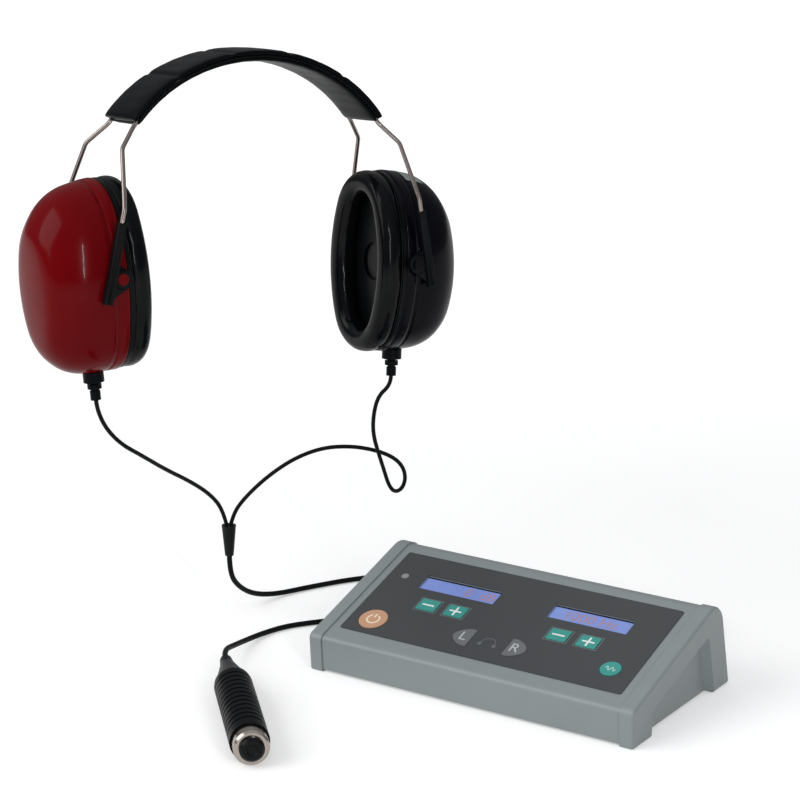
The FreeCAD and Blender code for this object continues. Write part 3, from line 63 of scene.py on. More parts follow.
camera_data = bpy.data.cameras.new("camera")
camera_data.lens = 109.65
camera_data.sensor_width = 36
camera = bpy.data.objects.new("camera", camera_data)
camera.location = console_at + CAMERA_AT
camera.rotation_euler = (math.pi / 2 - CAMERA_DOWN, 0, CAMERA_TURN)
bpy.context.scene.collection.objects.link(camera)
bpy.context.scene.camera = camera


# ---- Cords: black, smooth, limp PVC ----------------------------------------
# Two thin leads run from the cups' strain reliefs to a moulded Y, and one cord from
# there to its plug. The response handle has a cord of its own. Both cords have their
# spare length wound into a tied coil behind the console.
# The headset's own frame: x to the wearer's left, y to the back, z up, with its
# origin in the middle between the cups' pivots.
HEAD_AT = Vector((-0.1808, -0.0246, 0.2338))
HEAD_TURN = math.radians(65.7)
HEAD_LEAN = math.radians(4.15)
HEAD_BACK = math.radians(4.1)
head = (Matrix.Translation(console_at + HEAD_AT) @ Matrix.Rotation(HEAD_TURN, 4, "Z")
        @ Matrix.Rotation(HEAD_LEAN, 4, "Y") @ Matrix.Rotation(-HEAD_BACK, 4, "X"))

LEAD_DIAMETER = 0.0026
CORD_DIAMETER = 0.0034
# how far each runs straight on from what holds it
LEAD_EXIT = 0.006
CORD_EXIT = 0.012
HANDLE_EXIT = 0.0168
RELIEF_END = Vector((0.1072, 0, -0.07522))          # in the upright left cup
PIVOT_OUT = 0.1002
CUP_TILT = {"right": math.radians(6.7), "left": math.radians(0.5)}
Y_TOP = Vector((-0.2060, -0.0125, 0.0600))
Y_LENGTH = 0.020
HANDLE_END = Vector((-0.1431, -0.0995, 0.0113))
HANDLE_TURN = math.radians(-46.5)
HANDLE_AXIS = Vector((math.cos(HANDLE_TURN), math.sin(HANDLE_TURN), 0))
PLUG_END_Y = 0.09104
SOCKET_HEIGHT = 0.016
RIGHT_LEAD_ROUTE = [(-0.2166, -0.1155, 0.1470), (-0.2138, -0.1050, 0.1350), (-0.2112, -0.0910, 0.1255),
                    (-0.2120, -0.0670, 0.1100), (-0.2112, -0.0450, 0.0970), (-0.2095, -0.0275, 0.0845),
                    (-0.2072, -0.0170, 0.0720)]
LEFT_LEAD_ROUTE = [(-0.1396, 0.0582, 0.1385), (-0.1422, 0.0565, 0.1260), (-0.1420, 0.0558, 0.1135),
                   (-0.1380, 0.0560, 0.1015), (-0.1340, 0.0565, 0.0905), (-0.1315, 0.0575, 0.0815),
                   (-0.1305, 0.0625, 0.0752), (-0.1300, 0.0704, 0.0748), (-0.1305, 0.0762, 0.0801),
                   (-0.1330, 0.0770, 0.0880), (-0.1385, 0.0735, 0.0945), (-0.1470, 0.0660, 0.0995),
                   (-0.1575, 0.0540, 0.1035), (-0.1690, 0.0385, 0.1045), (-0.1800, 0.0220, 0.0995),
                   (-0.1900, 0.0065, 0.0895), (-0.1995, -0.0040, 0.0770), (-0.2043, -0.0095, 0.0675)]
HEADSET_CORD_ROUTE = [(-0.2055, -0.0050, 0.0170), (-0.2040, 0.0090, 0.0075), (-0.2000, 0.0280, 0.0024),
                      (-0.1910, 0.0520, 0.0018), (-0.1740, 0.0840, 0.0018), (-0.1460, 0.1140, 0.0018),
                      (-0.1080, 0.1350, 0.0018), (-0.0620, 0.1450, 0.0018), (-0.0240, 0.1460, 0.0018),
                      (0.0100, 0.1395, 0.0026)]
RESPONSE_CORD_ROUTE = [(-0.1604, -0.0665, 0.0070), (-0.1648, -0.0490, 0.0036), (-0.1655, -0.0310, 0.0020),
                       (-0.1610, -0.0135, 0.0018), (-0.1505, 0.0015, 0.0018), (-0.1380, 0.0165, 0.0018),
                       (-0.1295, 0.0340, 0.0018), (-0.1250, 0.0550, 0.0018), (-0.1130, 0.0760, 0.0018),
                       (-0.0910, 0.0880, 0.0018), (-0.0640, 0.0910, 0.0024)]
HEADSET_TAIL_ROUTE = [(0.0090, 0.1205, 0.0145), (0.0195, 0.1295, 0.0115)]
RESPONSE_TAIL_ROUTE = [(-0.0705, 0.1205, 0.0145), (-0.0585, 0.1295, 0.0115)]
RESPONSE_COIL_AT = Vector((-0.038, 0.112, 0))
COIL_RADIUS = 0.0205
TURN_POINTS = 14
# a turn lies beside its neighbours, and steps over to its next place from this share on
STEP_FROM = 0.7
# each turn's place in the bundle, in cord diameters: out from its middle, up from the table
BUNDLE = ((-1, 0.5), (0, 0.5), (1, 0.5), (1.5, 1.37), (0.5, 1.37), (-0.5, 1.37), (-1.5, 1.37),
          (-1, 2.23), (0, 2.23), (1, 2.23), (0.5, 3.1), (-0.5, 3.1))


def shader_of(material):
    return material.node_tree.nodes["Principled BSDF"]


def feed(node, inputs):
    """Gives a shader node's inputs their values, or links them from other nodes' outputs."""
    for name, given in inputs.items():
        if isinstance(given, bpy.types.NodeSocket):
            node.id_data.links.new(given, node.inputs[name])
        else:
            node.inputs[name].default_value = given


def added(tree, kind, inputs=None, **settings):
    """A new shader node with its settings and inputs."""
    node = tree.nodes.new("ShaderNode" + kind)
    for name, value in settings.items():
        setattr(node, name, value)
    feed(node, inputs or {})
    return node


def pvc(name):
    """Smooth black PVC with faint mottling and fine scuffs."""
    material = bpy.data.materials.new(name)
    material.use_nodes = True
    tree = material.node_tree
    place = added(tree, "TexCoord").outputs["Object"]
    mottle = added(tree, "TexNoise", {"Vector": place, "Scale": 180}).outputs["Fac"]
    tint = added(tree, "ValToRGB", {"Fac": mottle})
    tint.color_ramp.elements[0].color = (0.0025, 0.003, 0.0035, 1)
    tint.color_ramp.elements[1].color = (0.007, 0.008, 0.0085, 1)
    gloss = added(tree, "MapRange", {"Value": mottle, "To Min": 0.32, "To Max": 0.52})
    feed(shader_of(material), {"Base Color": tint.outputs["Color"], "Roughness": gloss.outputs["Result"],
                               "Specular IOR Level": 0.08})
    return material


cord_pvc = pvc("cord_pvc")


def cord_curve(name, points, diameter):
    """A cord as one smooth open spline with a round section."""
    data = bpy.data.curves.new(name, "CURVE")
    data.dimensions = "3D"
    data.resolution_u = 6
    data.bevel_resolution = 4
    spline = data.splines.new("NURBS")
    spline.points.add(len(points) - 1)
    for point, place in zip(spline.points, points):
        point.co = (*place, 1)
    spline.order_u = 3
    spline.use_endpoint_u = True
    data.bevel_depth = diameter / 2
    data.use_fill_caps = True
    data.materials.append(cord_pvc)
    piece = bpy.data.objects.new(name, data)
    bpy.context.scene.collection.objects.link(piece)
    return piece


def smooth_line(points):
    """The points along the smooth curve that a cord takes through its route."""
    piece = cord_curve("route", points, 0)
    mesh = bpy.data.meshes.new_from_object(piece)
    line = [vertex.co.copy() for vertex in mesh.vertices]
    bpy.data.objects.remove(piece)
    return line


def tube_along(name, line, diameter):
    """A mesh tube whose rings sit on the points of the line."""
    data = bpy.data.curves.new(name, "CURVE")
    data.dimensions = "3D"
    data.bevel_depth = diameter / 2
    data.bevel_resolution = 3
    data.use_fill_caps = True
    spline = data.splines.new("POLY")
    spline.points.add(len(line) - 1)
    for point, place in zip(spline.points, line):
        point.co = (*place, 1)
    curve = bpy.data.objects.new(name, data)
    piece = bpy.data.objects.new(name, bpy.data.meshes.new_from_object(curve))
    bpy.data.curves.remove(data)
    piece.name = name
    piece.data.materials.append(cord_pvc)
    piece.data.shade_smooth()
    bpy.context.scene.collection.objects.link(piece)
    return piece


def from_console(points):
    """Points counted from the console's middle, set in the frame."""
    return [console_at + Vector(point) for point in points]


def coil_turns(centre, start, end, turns, sense):
    """Points of a neat bundle of whole turns and the rest from start to end, in degrees."""
    total = turns + ((end - start) * sense % 360) / 360
    points = []
    count = round(total * TURN_POINTS)
    for i in range(1, count):
        wound = total * i / count
        angle = math.radians(start + sense * 360 * wound)
        place = min(wound, len(BUNDLE) - 1.001)
        low = int(place)
        share = max(0.0, (place - low - STEP_FROM) / (1 - STEP_FROM))
        share = share * share * (3 - 2 * share)
        out, up = (a + (b - a) * share for a, b in zip(BUNDLE[low], BUNDLE[low + 1]))
        radius = COIL_RADIUS + out * CORD_DIAMETER
        points.append(centre + Vector((radius * math.cos(angle), radius * math.sin(angle),
                                       up * CORD_DIAMETER)))
    return points


def cup_place(word):
    """The frame of the upright left cup, set on the given side with its tilt."""
    pivot = Matrix.Translation((PIVOT_OUT, 0, 0))
    place = pivot @ Matrix.Rotation(CUP_TILT[word], 4, "Y") @ pivot.inverted()
    return head @ (place if word == "left" else Matrix.Diagonal((-1, 1, 1, 1)) @ place)


# Leads: each is cut in two, an upper stretch from its cup and a lower one that hangs to the Y. Each has
# the share of its length that is the upper stretch, and its place beside the Y's middle.
for word, route, upper_share, y_shift in (("right", RIGHT_LEAD_ROUTE, 0.34, (-0.0004, -0.0016, 0)),
                                          ("left", LEFT_LEAD_ROUTE, 0.22, (0.0004, 0.0016, 0))):
    points = [cup_place(word) @ RELIEF_END, cup_place(word) @ (RELIEF_END - Vector((0, 0, LEAD_EXIT)))]
    points += from_console(route) + from_console([Y_TOP + Vector(y_shift)])
    line = smooth_line(points)
    cut = round(upper_share * (len(line) - 1))
    upper = tube_along(word + "_lead_upper", line[:cut + 1], LEAD_DIAMETER)
    lower = tube_along(word + "_lead_lower", line[cut:], LEAD_DIAMETER)
    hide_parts(word + "_lead")
    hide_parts(word + "_lead")
    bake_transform(upper)
    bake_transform(lower)

# Headset cord: from the Y down to the table, behind the console, coil, plug.
y_low = Y_TOP - Vector((0, 0, Y_LENGTH))
headset_plug_end = Vector((0.005, PLUG_END_Y, SOCKET_HEIGHT))
points = from_console([y_low, y_low - Vector((0, 0, CORD_EXIT))] + HEADSET_CORD_ROUTE)
points += coil_turns(console_at + HEADSET_COIL_AT, start=100, end=285, turns=10, sense=-1)
points += from_console(HEADSET_TAIL_ROUTE[::-1] + [headset_plug_end + Vector((0, CORD_EXIT, 0)),
                                                   headset_plug_end])
headset_cord = cord_curve("headset_cord_whole", points, CORD_DIAMETER)
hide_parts("headset_cord", "headset_coil")
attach(headset_cord, "console")

# Response cord: from the handle's tail, beside the headset's place, to its coil and plug.
response_plug_end = Vector((-0.075, PLUG_END_Y, SOCKET_HEIGHT))
points = from_console([HANDLE_END, HANDLE_END - HANDLE_AXIS * HANDLE_EXIT] + RESPONSE_CORD_ROUTE)
points += coil_turns(console_at + RESPONSE_COIL_AT, start=262, end=118, turns=10, sense=1)
points += from_console(RESPONSE_TAIL_ROUTE[::-1] + [response_plug_end + Vector((0, CORD_EXIT, 0)),
                                                    response_plug_end])
response_cord = cord_curve("response_cord_whole", points, CORD_DIAMETER)
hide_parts("response_cord", "response_coil")
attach(response_cord, "console")


# ---- Console case and cheeks -----------------------------------------------
# An extruded top shell closed by two moulded end cheeks and a floor plate, all in the
# same grey, screwed together from below. Like the other moulded pieces they have a fine
# spark-eroded texture, and a colour and gloss that vary a little over the surface.
CASE_GREY = (0.238, 0.270, 0.272)


def moulded_texture_group():
    """The node group that varies a colour and a gloss, and gives the height of the grain."""
    group = bpy.data.node_groups.new("moulded_texture", "ShaderNodeTree")
    sockets = group.interface
    for name, kind, value in (("Colour", "NodeSocketColor", (0.5, 0.5, 0.5, 1)),
                              ("Roughness", "NodeSocketFloat", 0.5),
                              ("Grain", "NodeSocketFloat", 2500.0),
                              ("Mottle", "NodeSocketFloat", 0.1),
                              ("Gloss Spread", "NodeSocketFloat", 0.1)):
        socket = sockets.new_socket(name, in_out="INPUT", socket_type=kind)
        socket.default_value = value
    for name, kind in (("Colour", "NodeSocketColor"), ("Roughness", "NodeSocketFloat"),
                       ("Height", "NodeSocketFloat")):
        sockets.new_socket(name, in_out="OUTPUT", socket_type=kind)
    given = group.nodes.new("NodeGroupInput").outputs
    made = group.nodes.new("NodeGroupOutput")
    place = added(group, "TexCoord").outputs["Object"]
    grain = added(group, "TexNoise", {"Vector": place, "Scale": given["Grain"], "Detail": 2})
    broad = added(group, "TexNoise", {"Vector": place, "Scale": 34, "Detail": 4})
    centred = added(group, "Math", {0: broad.outputs["Fac"], 1: 0.5}, operation="SUBTRACT").outputs[0]
    shade = added(group, "Math", {0: centred, 1: given["Mottle"], 2: 1.0}, operation="MULTIPLY_ADD")
    gloss = added(group, "Math", {0: centred, 1: given["Gloss Spread"], 2: given["Roughness"]},
                  operation="MULTIPLY_ADD")
    # of the mix node's many sockets, 6 and 7 are the two colours and output 2 their mix
    tint = added(group, "Mix", {"Factor": 1.0, 6: given["Colour"], 7: shade.outputs[0]},
                 data_type="RGBA", blend_type="MULTIPLY")
    feed(made, {"Colour": tint.outputs[2], "Roughness": gloss.outputs[0], "Height": grain.outputs["Fac"]})
    return group


moulded_texture = moulded_texture_group()


def moulded(name, colour, roughness, grain=2500.0, relief=0.05, mottle=0.1, spread=0.1, shine=0.5):
    """A material with the moulded texture. Relief is the bump's depth in millimetres."""
    material = bpy.data.materials.new(name)
    material.use_nodes = True
    tree = material.node_tree
    texture = added(tree, "Group", {"Colour": (*colour, 1), "Roughness": roughness, "Grain": grain,
                                    "Mottle": mottle, "Gloss Spread": spread},
                    node_tree=moulded_texture).outputs
    bump = added(tree, "Bump", {"Height": texture["Height"], "Distance": relief / 1000})
    feed(shader_of(material), {"Base Color": texture["Colour"], "Roughness": texture["Roughness"],
                               "Normal": bump.outputs["Normal"], "Specular IOR Level": shine})
    return material


def dress(names, material):
    """Gives CAD pieces their finish."""
    for name in names:
        node = nodes[name]
        node.data.materials.clear()
        node.data.materials.append(material)


case_grey = moulded("case_grey", CASE_GREY, 0.42, grain=2200, relief=0.035, mottle=0.10, spread=0.12)
dress(("body_shell", "base_plate", "left_cheek", "right_cheek"), case_grey)


# ---- Keypad film, keys and their prints ------------------------------------
# A dark polyester film, printed on its back, with the keys' windows cut out. Keys are
# printed caps. Prints are raised by no more than the ink.
SLOPE = math.radians(18.03)
FILM_LOW = 0.0120
FILM_HIGH = 0.0927
INK = 0.00004
KEY_TOP = 0.0008
FILM_TOP = 0.0005
# the face's own frame: x across, y up the slope, z out of the face
film_box_low, film_box_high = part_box("keypad_film")
face = (Matrix.Translation(Vector((console_at.x, film_box_high.y - FILM_HIGH * math.cos(SLOPE),
                                   film_box_low.z - FILM_LOW * math.sin(SLOPE))))
        @ Matrix.Rotation(SLOPE, 4, "X"))
film_dark = moulded("film_dark", (0.053, 0.057, 0.061), 0.45, grain=3500, relief=0.015, mottle=0.10,
                    spread=0.08, shine=0.35)


def key_cap(name, colour, mottle):
    return moulded(name, colour, 0.42, grain=3500, relief=0.012, mottle=mottle)


def ink(name, colour):
    return moulded(name, colour, 0.5, grain=4000, relief=0.005)


key_teal = key_cap("key_teal", (0.034, 0.300, 0.262), 0.25)
key_grey = key_cap("key_grey", (0.135, 0.142, 0.148), 0.3)
key_orange = key_cap("key_orange", (0.58, 0.32, 0.19), 0.2)
ink_white = ink("ink_white", (0.80, 0.82, 0.80))
ink_silver = ink("ink_silver", (0.47, 0.49, 0.50))
ink_cream = ink("ink_cream", (0.86, 0.74, 0.56))
ink_grey = ink("ink_grey", (0.125, 0.135, 0.14))
ink_pale = ink("ink_pale", (0.42, 0.62, 0.55))
dress(("keypad_film",), film_dark)
dress(("key_level_down", "key_level_up", "key_pitch_down", "key_pitch_up", "key_tone"), key_teal)
dress(("key_left_ear", "key_right_ear"), key_grey)
dress(("key_power",), key_orange)


def start_mesh():
    """Leaves edit mode and deselects everything, as before each new piece."""
    if bpy.context.object and bpy.context.object.mode == "EDIT":
        bpy.ops.object.mode_set(mode="OBJECT")
    bpy.ops.object.select_all(action="DESELECT")


def fresh(add, **how):
    """A new piece from one of Blender's own primitives."""
    start_mesh()
    add(**how)
    return bpy.context.object


def only(piece):
    start_mesh()
    piece.select_set(True)
    bpy.context.view_layer.objects.active = piece


def settled(name, piece, place, material, body):
    """Finishes a new piece: its place goes into its mesh, and it rides on its body."""
    only(piece)
    piece.name = name
    bpy.context.view_layer.update()
    piece.data.transform(place @ piece.matrix_world)
    piece.matrix_world = Matrix.Identity(4)
    piece.data.materials.clear()
    piece.data.materials.append(material)
    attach(piece, body)
    return piece


def print_bars(name, bars, height, material, slot, body):
    """Flat printed bars (x, y, width, height of each, in mm) on the keypad face."""
    parts = []
    for x, y, width, tall in bars:
        part = fresh(bpy.ops.mesh.primitive_cube_add, size=1)
        part.data.transform(Matrix.Translation((x / 1000, y / 1000, height + INK / 2))
                            @ Matrix.Diagonal((width / 1000, tall / 1000, INK, 1)))
        parts.append(part)
    only(parts[0])
    for part in parts:
        part.select_set(True)
    if len(parts) > 1:
        bpy.ops.object.join()
    return settled(name, parts[0], face, material, body)


def print_text(name, text, size, x, y, height, material, body, width=1.0):
    """Printed characters, centred at a point of the keypad face."""
    piece = fresh(bpy.ops.object.text_add)
    piece.data.body = text
    piece.data.size = size / 1000
    piece.data.align_x = "CENTER"
    piece.data.align_y = "CENTER"
    piece.data.extrude = INK / 2
    piece.data.resolution_u = 4
    bpy.ops.object.convert(target="MESH")
    piece = bpy.context.object
    spot = Matrix.Translation((x / 1000, y / 1000, height + INK / 2)) @ Matrix.Diagonal((width, 1, 1, 1))
    return settled(name, piece, face @ spot, material, body)


def faced_outwards(piece, mirrored=False):
    """Turns the faces outwards, or inwards where a mirrored place will turn them again."""
    only(piece)
    bpy.ops.object.mode_set(mode="EDIT")
    bpy.ops.mesh.select_all(action="SELECT")
    bpy.ops.mesh.normals_make_consistent(inside=False)
    if mirrored:
        bpy.ops.mesh.flip_normals()
    bpy.ops.object.mode_set(mode="OBJECT")


def extruded_rings(sides, count, ends="NOTHING"):
    """A tube extruded ring by ring from a circle, one apart, so that z counts the rings."""
    piece = fresh(bpy.ops.mesh.primitive_circle_add, vertices=sides, radius=1, fill_type=ends)
    bpy.ops.object.mode_set(mode="EDIT")
    bpy.ops.mesh.select_mode(type="VERT" if ends == "NOTHING" else "FACE")
    bpy.ops.mesh.select_all(action="SELECT")
    for _ in range(count - 1):
        bpy.ops.mesh.extrude_region_move(TRANSFORM_OT_translate={"value": (0, 0, 1)})
    bpy.ops.object.mode_set(mode="OBJECT")
    return piece


def print_stroke(name, points, width, height, material, slot, body):
    """A printed line of even width through points (mm) of the keypad face."""
    piece = extruded_rings(4, len(points), ends="NGON")
    for vertex in piece.data.vertices:
        x, y, ring = vertex.co
        i = round(ring)
        along = (Vector(points[min(i + 1, len(points) - 1)]) - Vector(points[max(i - 1, 0)])).normalized()
        across = Vector((-along.y, along.x)) * round(x - y) * width / 2
        vertex.co = (*(Vector(points[i]) + across) / 1000, height + (INK if x + y > 0 else 0))
    faced_outwards(piece)
    return settled(name, piece, face, material, body)


def print_pad(name, x, y, core, margin, height, material, slot, body):
    """A printed spot (mm): an oval core, given by its half sizes, widened by an even margin."""
    piece = fresh(bpy.ops.mesh.primitive_cylinder_add, vertices=12, radius=1, depth=1)
    wide, high = core
    for vertex in piece.data.vertices:
        out, up, level = vertex.co
        edge = Vector((out * wide, up * high)) + Vector((out * high, up * wide)).normalized() * margin
        vertex.co = ((x + edge.x) / 1000, (y + edge.y) / 1000, height + INK * (level + 0.5))
    return settled(name, piece, face, material, body)


# The prints' places and sizes are in millimetres of the face. Minus and plus stand on the
# four teal keys, and a grey frame is printed round each.
ON_FILM = (FILM_TOP, ink_grey, "film_dark", "console")
ON_POWER = (KEY_TOP, ink_cream, "key_orange", "key_power")
KEY_ROW = 48.2
SIGN_LONG, SIGN_THICK = 8.2, 1.25
ARM_AT, ARM_LONG = 2.3, 3.4
FRAME_HALF_WIDE, FRAME_HALF_HIGH, FRAME_LINE = 7.45, 5.85, 0.7
FRAME_WIDE = 2 * FRAME_HALF_WIDE + FRAME_LINE
FRAME_HIGH = 2 * FRAME_HALF_HIGH - FRAME_LINE
for key, x, plus in (("key_level_down", -54.3, False), ("key_level_up", -35.0, True),
                     ("key_pitch_down", 35.6, False), ("key_pitch_up", 55.4, True)):
    bars = [(x, KEY_ROW, SIGN_LONG, SIGN_THICK)]
    if plus:
        bars += [(x, KEY_ROW + up * ARM_AT, SIGN_THICK, ARM_LONG) for up in (1, -1)]
    print_bars("print_" + key, bars, KEY_TOP, ink_white, "key_teal", key)
    frame_bars = [(x, KEY_ROW + up * FRAME_HALF_HIGH, FRAME_WIDE, FRAME_LINE) for up in (1, -1)]
    frame_bars += [(x + out * FRAME_HALF_WIDE, KEY_ROW, FRAME_LINE, FRAME_HIGH) for out in (-1, 1)]
    print_bars("frame_" + key, frame_bars, *ON_FILM)

EAR_ROW = 28.5
LETTER_SIZE = 10.6
for key, letter, x in (("key_left_ear", "L", -17.8), ("key_right_ear", "R", 17.0)):
    print_text("print_" + key, letter, LETTER_SIZE, x, EAR_ROW, KEY_TOP, ink_silver, key)


def arc_points(x, y, half_width, half_height, angles):
    """Points of an oval about a point, at angles in degrees clockwise from its top."""
    return [(x + half_width * math.sin(math.radians(a)), y + half_height * math.cos(math.radians(a)))
            for a in angles]


POWER_AT = (-79.5, 25.3)
POWER_RADIUS = 3.9
POWER_LINE = 1.1
ring = arc_points(*POWER_AT, POWER_RADIUS, POWER_RADIUS, range(32, 329, 8))
print_stroke("print_power_ring", ring, POWER_LINE, *ON_POWER)
print_bars("print_power_bar", [(POWER_AT[0], POWER_AT[1] + 3.1, POWER_LINE, 3.6)], *ON_POWER)

TONE_AT = (79.4, 30.3)
WAVE_HALF_LONG, WAVE_HIGH = 26, 1.5
wave = [(TONE_AT[0] + t / 8, TONE_AT[1] + WAVE_HIGH * math.sin(t / WAVE_HALF_LONG * 2 * math.pi))
        for t in range(-WAVE_HALF_LONG, WAVE_HALF_LONG + 1, 2)]
print_stroke("print_tone_wave", wave, 0.7, KEY_TOP, ink_pale, "key_teal", "key_tone")

# a headphone's arc between the ear keys, with two pads
ARC_AT = (-0.5, 27.4)
PAD_OUT, PAD_DROP = 4.8, 1.2
PAD_CORE, PAD_MARGIN = (0.55, 0.75), 0.75
print_stroke("print_arc", arc_points(*ARC_AT, 4.6, 4.8, range(-90, 91, 9)), 0.55, *ON_FILM)
for word, side in (("left", -1), ("right", 1)):
    print_pad("print_arc_pad_" + word, ARC_AT[0] + side * PAD_OUT, ARC_AT[1] - PAD_DROP, PAD_CORE,
              PAD_MARGIN, *ON_FILM)


# ---- Displays and light ----------------------------------------------------
# Two character displays with a blue field behind glass, and a frosted light. The glass
# lies below the film's windows, and the shade in each window's recess is painted as black bars.
GLASS_TOP = -0.0009
GLASS_ROW = 68.3
# painted shade of each window's recess, as black bars along two of its edges: (out, up, width, height)
RECESS_SHADE_BARS = ((0, 6.45, 53.4, 1.2), (26.35, 0, 0.7, 12.6))

display_blue = moulded("display_blue", (0.165, 0.225, 0.50), 0.2, grain=900, relief=0.0, mottle=0.3,
                       shine=0.3)
feed(shader_of(display_blue), {"Coat Weight": 0.1, "Emission Color": (0.18, 0.25, 0.62, 1),
                               "Emission Strength": 0.3})
dress(("level_display", "pitch_display"), display_blue)
ink_amber = moulded("ink_amber", (0.42, 0.25, 0.30), 0.4, grain=3000, relief=0.0)
for word, digits, x, width in (("level", "0  dB", -30.0, 0.95), ("pitch", "1000 Hz", 45.6, 1.0)):
    print_text("digits_" + word, digits, LETTER_SIZE, x, GLASS_ROW, GLASS_TOP, ink_amber,
               "console", width=width)
# painted shade: black bars where each display window's recess is shaded
rim_black = moulded("rim_black", (0.004, 0.004, 0.005), 0.5, grain=3000, relief=0.005, shine=0.2)
for word, x in (("level", -44.0), ("pitch", 46.0)):
    recess_shade_bars = [(x + out, GLASS_ROW + up, width, tall) for out, up, width, tall in RECESS_SHADE_BARS]
    print_bars("rim_" + word, recess_shade_bars, GLASS_TOP, rim_black, "display_blue", "console")
light_grey = moulded("light_grey", (0.26, 0.27, 0.275), 0.3, grain=1500, relief=0.01)
dress(("status_light",), light_grey)


# ---- Pieces inside and behind the console ----------------------------------
# Solder-masked boards on the case's bosses and the floor's standoffs, pressed domes under
# the keys, and zinc-plated screws. The sockets are nutted to the rear wall, and the plugs
# and the Y are moulded on their cords.
board_green = moulded("board_green", (0.020, 0.115, 0.050), 0.35, grain=700, relief=0.05, mottle=0.5)
dress(("keypad_board", "main_board"), board_green)


def metal(name, colour, roughness, grain=1800.0):
    """The moulded texture, finer, as the surface of a metal."""
    material = moulded(name, colour, roughness, grain=grain, relief=0.006, mottle=0.15, spread=0.15)
    feed(shader_of(material), {"Metallic": 1.0})
    return material


dress(("dome_switches",), metal("dome_metal", (0.62, 0.62, 0.60), 0.25))
dress(("base_screws", "board_screws"), metal("screw_steel", (0.52, 0.52, 0.50), 0.32))
socket_black = moulded("socket_black", (0.010, 0.011, 0.012), 0.45, grain=1500, relief=0.03, shine=0.3)
dress(("jack_sockets", "power_socket", "switch_block", "handle_core"), socket_black)
plug_rubber = moulded("plug_rubber", (0.004, 0.0045, 0.005), 0.46, grain=1500, relief=0.04, shine=0.15)
dress(("headset_plug", "response_plug", "y_joint"), plug_rubber)


# ---- Ties round the coils --------------------------------------------------
# Each spare coil is held by a narrow tie of woven hook-and-loop tape, closed once round
# the bundle of turns.
TIE_WIDE = 0.008
TIE_THICK = 0.0007
TIE_RINGS = 5
# the bundle's section with a little air, and how square the tie lies round it (0 is a box)
BUNDLE_HALF = 2.0 * CORD_DIAMETER + 0.0004
BUNDLE_HIGH = 3.6 * CORD_DIAMETER + 0.0006
TIE_ROUND = 0.55
tie_black = moulded("tie_black", (0.006, 0.0065, 0.0075), 0.75, grain=1300, relief=0.12, mottle=0.4,
                    shine=0.1)
for word, coil_at in (("headset", HEADSET_COIL_AT), ("response", RESPONSE_COIL_AT)):
    tie = extruded_rings(48, TIE_RINGS)
    for vertex in tie.data.vertices:
        out, up, ring = vertex.co
        out = math.copysign(abs(out) ** TIE_ROUND, out) * BUNDLE_HALF
        up = (math.copysign(abs(up) ** TIE_ROUND, up) + 1) / 2 * BUNDLE_HIGH + TIE_THICK
        vertex.co = (COIL_RADIUS + out, TIE_WIDE * (ring / (TIE_RINGS - 1) - 0.5), up)
    faced_outwards(tie)
    settled(word + "_coil_tie", tie, Matrix.Translation(console_at + coil_at), tie_black,
            "console")
    tie.data.shade_smooth()
    band = tie.modifiers.new("band", "SOLIDIFY")
    band.thickness = TIE_THICK
    band.offset = 0


# ---- Response handle -------------------------------------------------------
# A soft ribbed sleeve is stretched over a hard core. A nickel-plated ring closes its end
# and holds the domed push button, which stands on a spring over the switch.
grip_rubber = moulded("grip_rubber", (0.0028, 0.0034, 0.0042), 0.38, grain=1400, relief=0.05, mottle=0.5,
                      spread=0.3, shine=0.05)
dress(("handle_grip", "left_relief", "right_relief"), grip_rubber)
nickel = metal("nickel", (0.37, 0.33, 0.295), 0.20)
dress(("handle_bezel",), nickel)
button_black = moulded("button_black", (0.004, 0.0045, 0.005), 0.3, grain=1200, relief=0.01, shine=0.12)
dress(("handle_button",), button_black)
spring_steel = metal("spring_steel", (0.24, 0.205, 0.19), 0.30, grain=900)
dress(("button_spring", "front_wire", "rear_wire"), spring_steel)


# ---- Headband --------------------------------------------------------------
# A soft vinyl sleeve round the two spring wires, lightly padded and welded across in
# four places, with a slimmer foam pad welded under it.
BAND_TOP = 0.1292
CROWN_RADIUS = 0.1143
CROWN_HALF = math.radians(26.9)
SIDE_RADIUS = 0.0992
BAND_END = math.radians(51.7)
# welds across, in degrees from the top, and how far each one's furrow reaches
SLEEVE_WELDS = (-30, -10, 10, 30)
WELD_REACH = 1.1
# the ends are pinched over their last share, and the panels between welds crease a little
PINCH_FROM = 0.955
CREASE = 0.035
HEM_END = math.radians(51.3)
HEM_STEPS = 40
vinyl_black = moulded("vinyl_black", (0.0025, 0.0030, 0.0036), 0.35, grain=900, relief=0.05, mottle=0.35,
                      spread=0.3, shine=0.04)


def band_spot(turn, depth, across):
    """A point of the headband: angle from its top, depth below its outside, y."""
    side, turn = math.copysign(1, turn), abs(turn)
    if turn <= CROWN_HALF:
        reach, radius = 0.0, CROWN_RADIUS - depth
    else:
        reach, radius = CROWN_RADIUS - SIDE_RADIUS, SIDE_RADIUS - depth
    return Vector((side * (reach * math.sin(CROWN_HALF) + radius * math.sin(turn)), across,
                   BAND_TOP - CROWN_RADIUS + reach * math.cos(CROWN_HALF) + radius * math.cos(turn)))


def edit_only(piece, kind, wanted):
    """Enters edit mode with only the wanted edges or faces of the piece selected."""
    only(piece)
    bpy.ops.object.mode_set(mode="EDIT")
    bpy.ops.mesh.select_mode(type=kind)
    bpy.ops.mesh.select_all(action="DESELECT")
    bpy.ops.object.mode_set(mode="OBJECT")
    for item in piece.data.edges if kind == "EDGE" else piece.data.polygons:
        item.select = wanted(item)
    bpy.ops.object.mode_set(mode="EDIT")


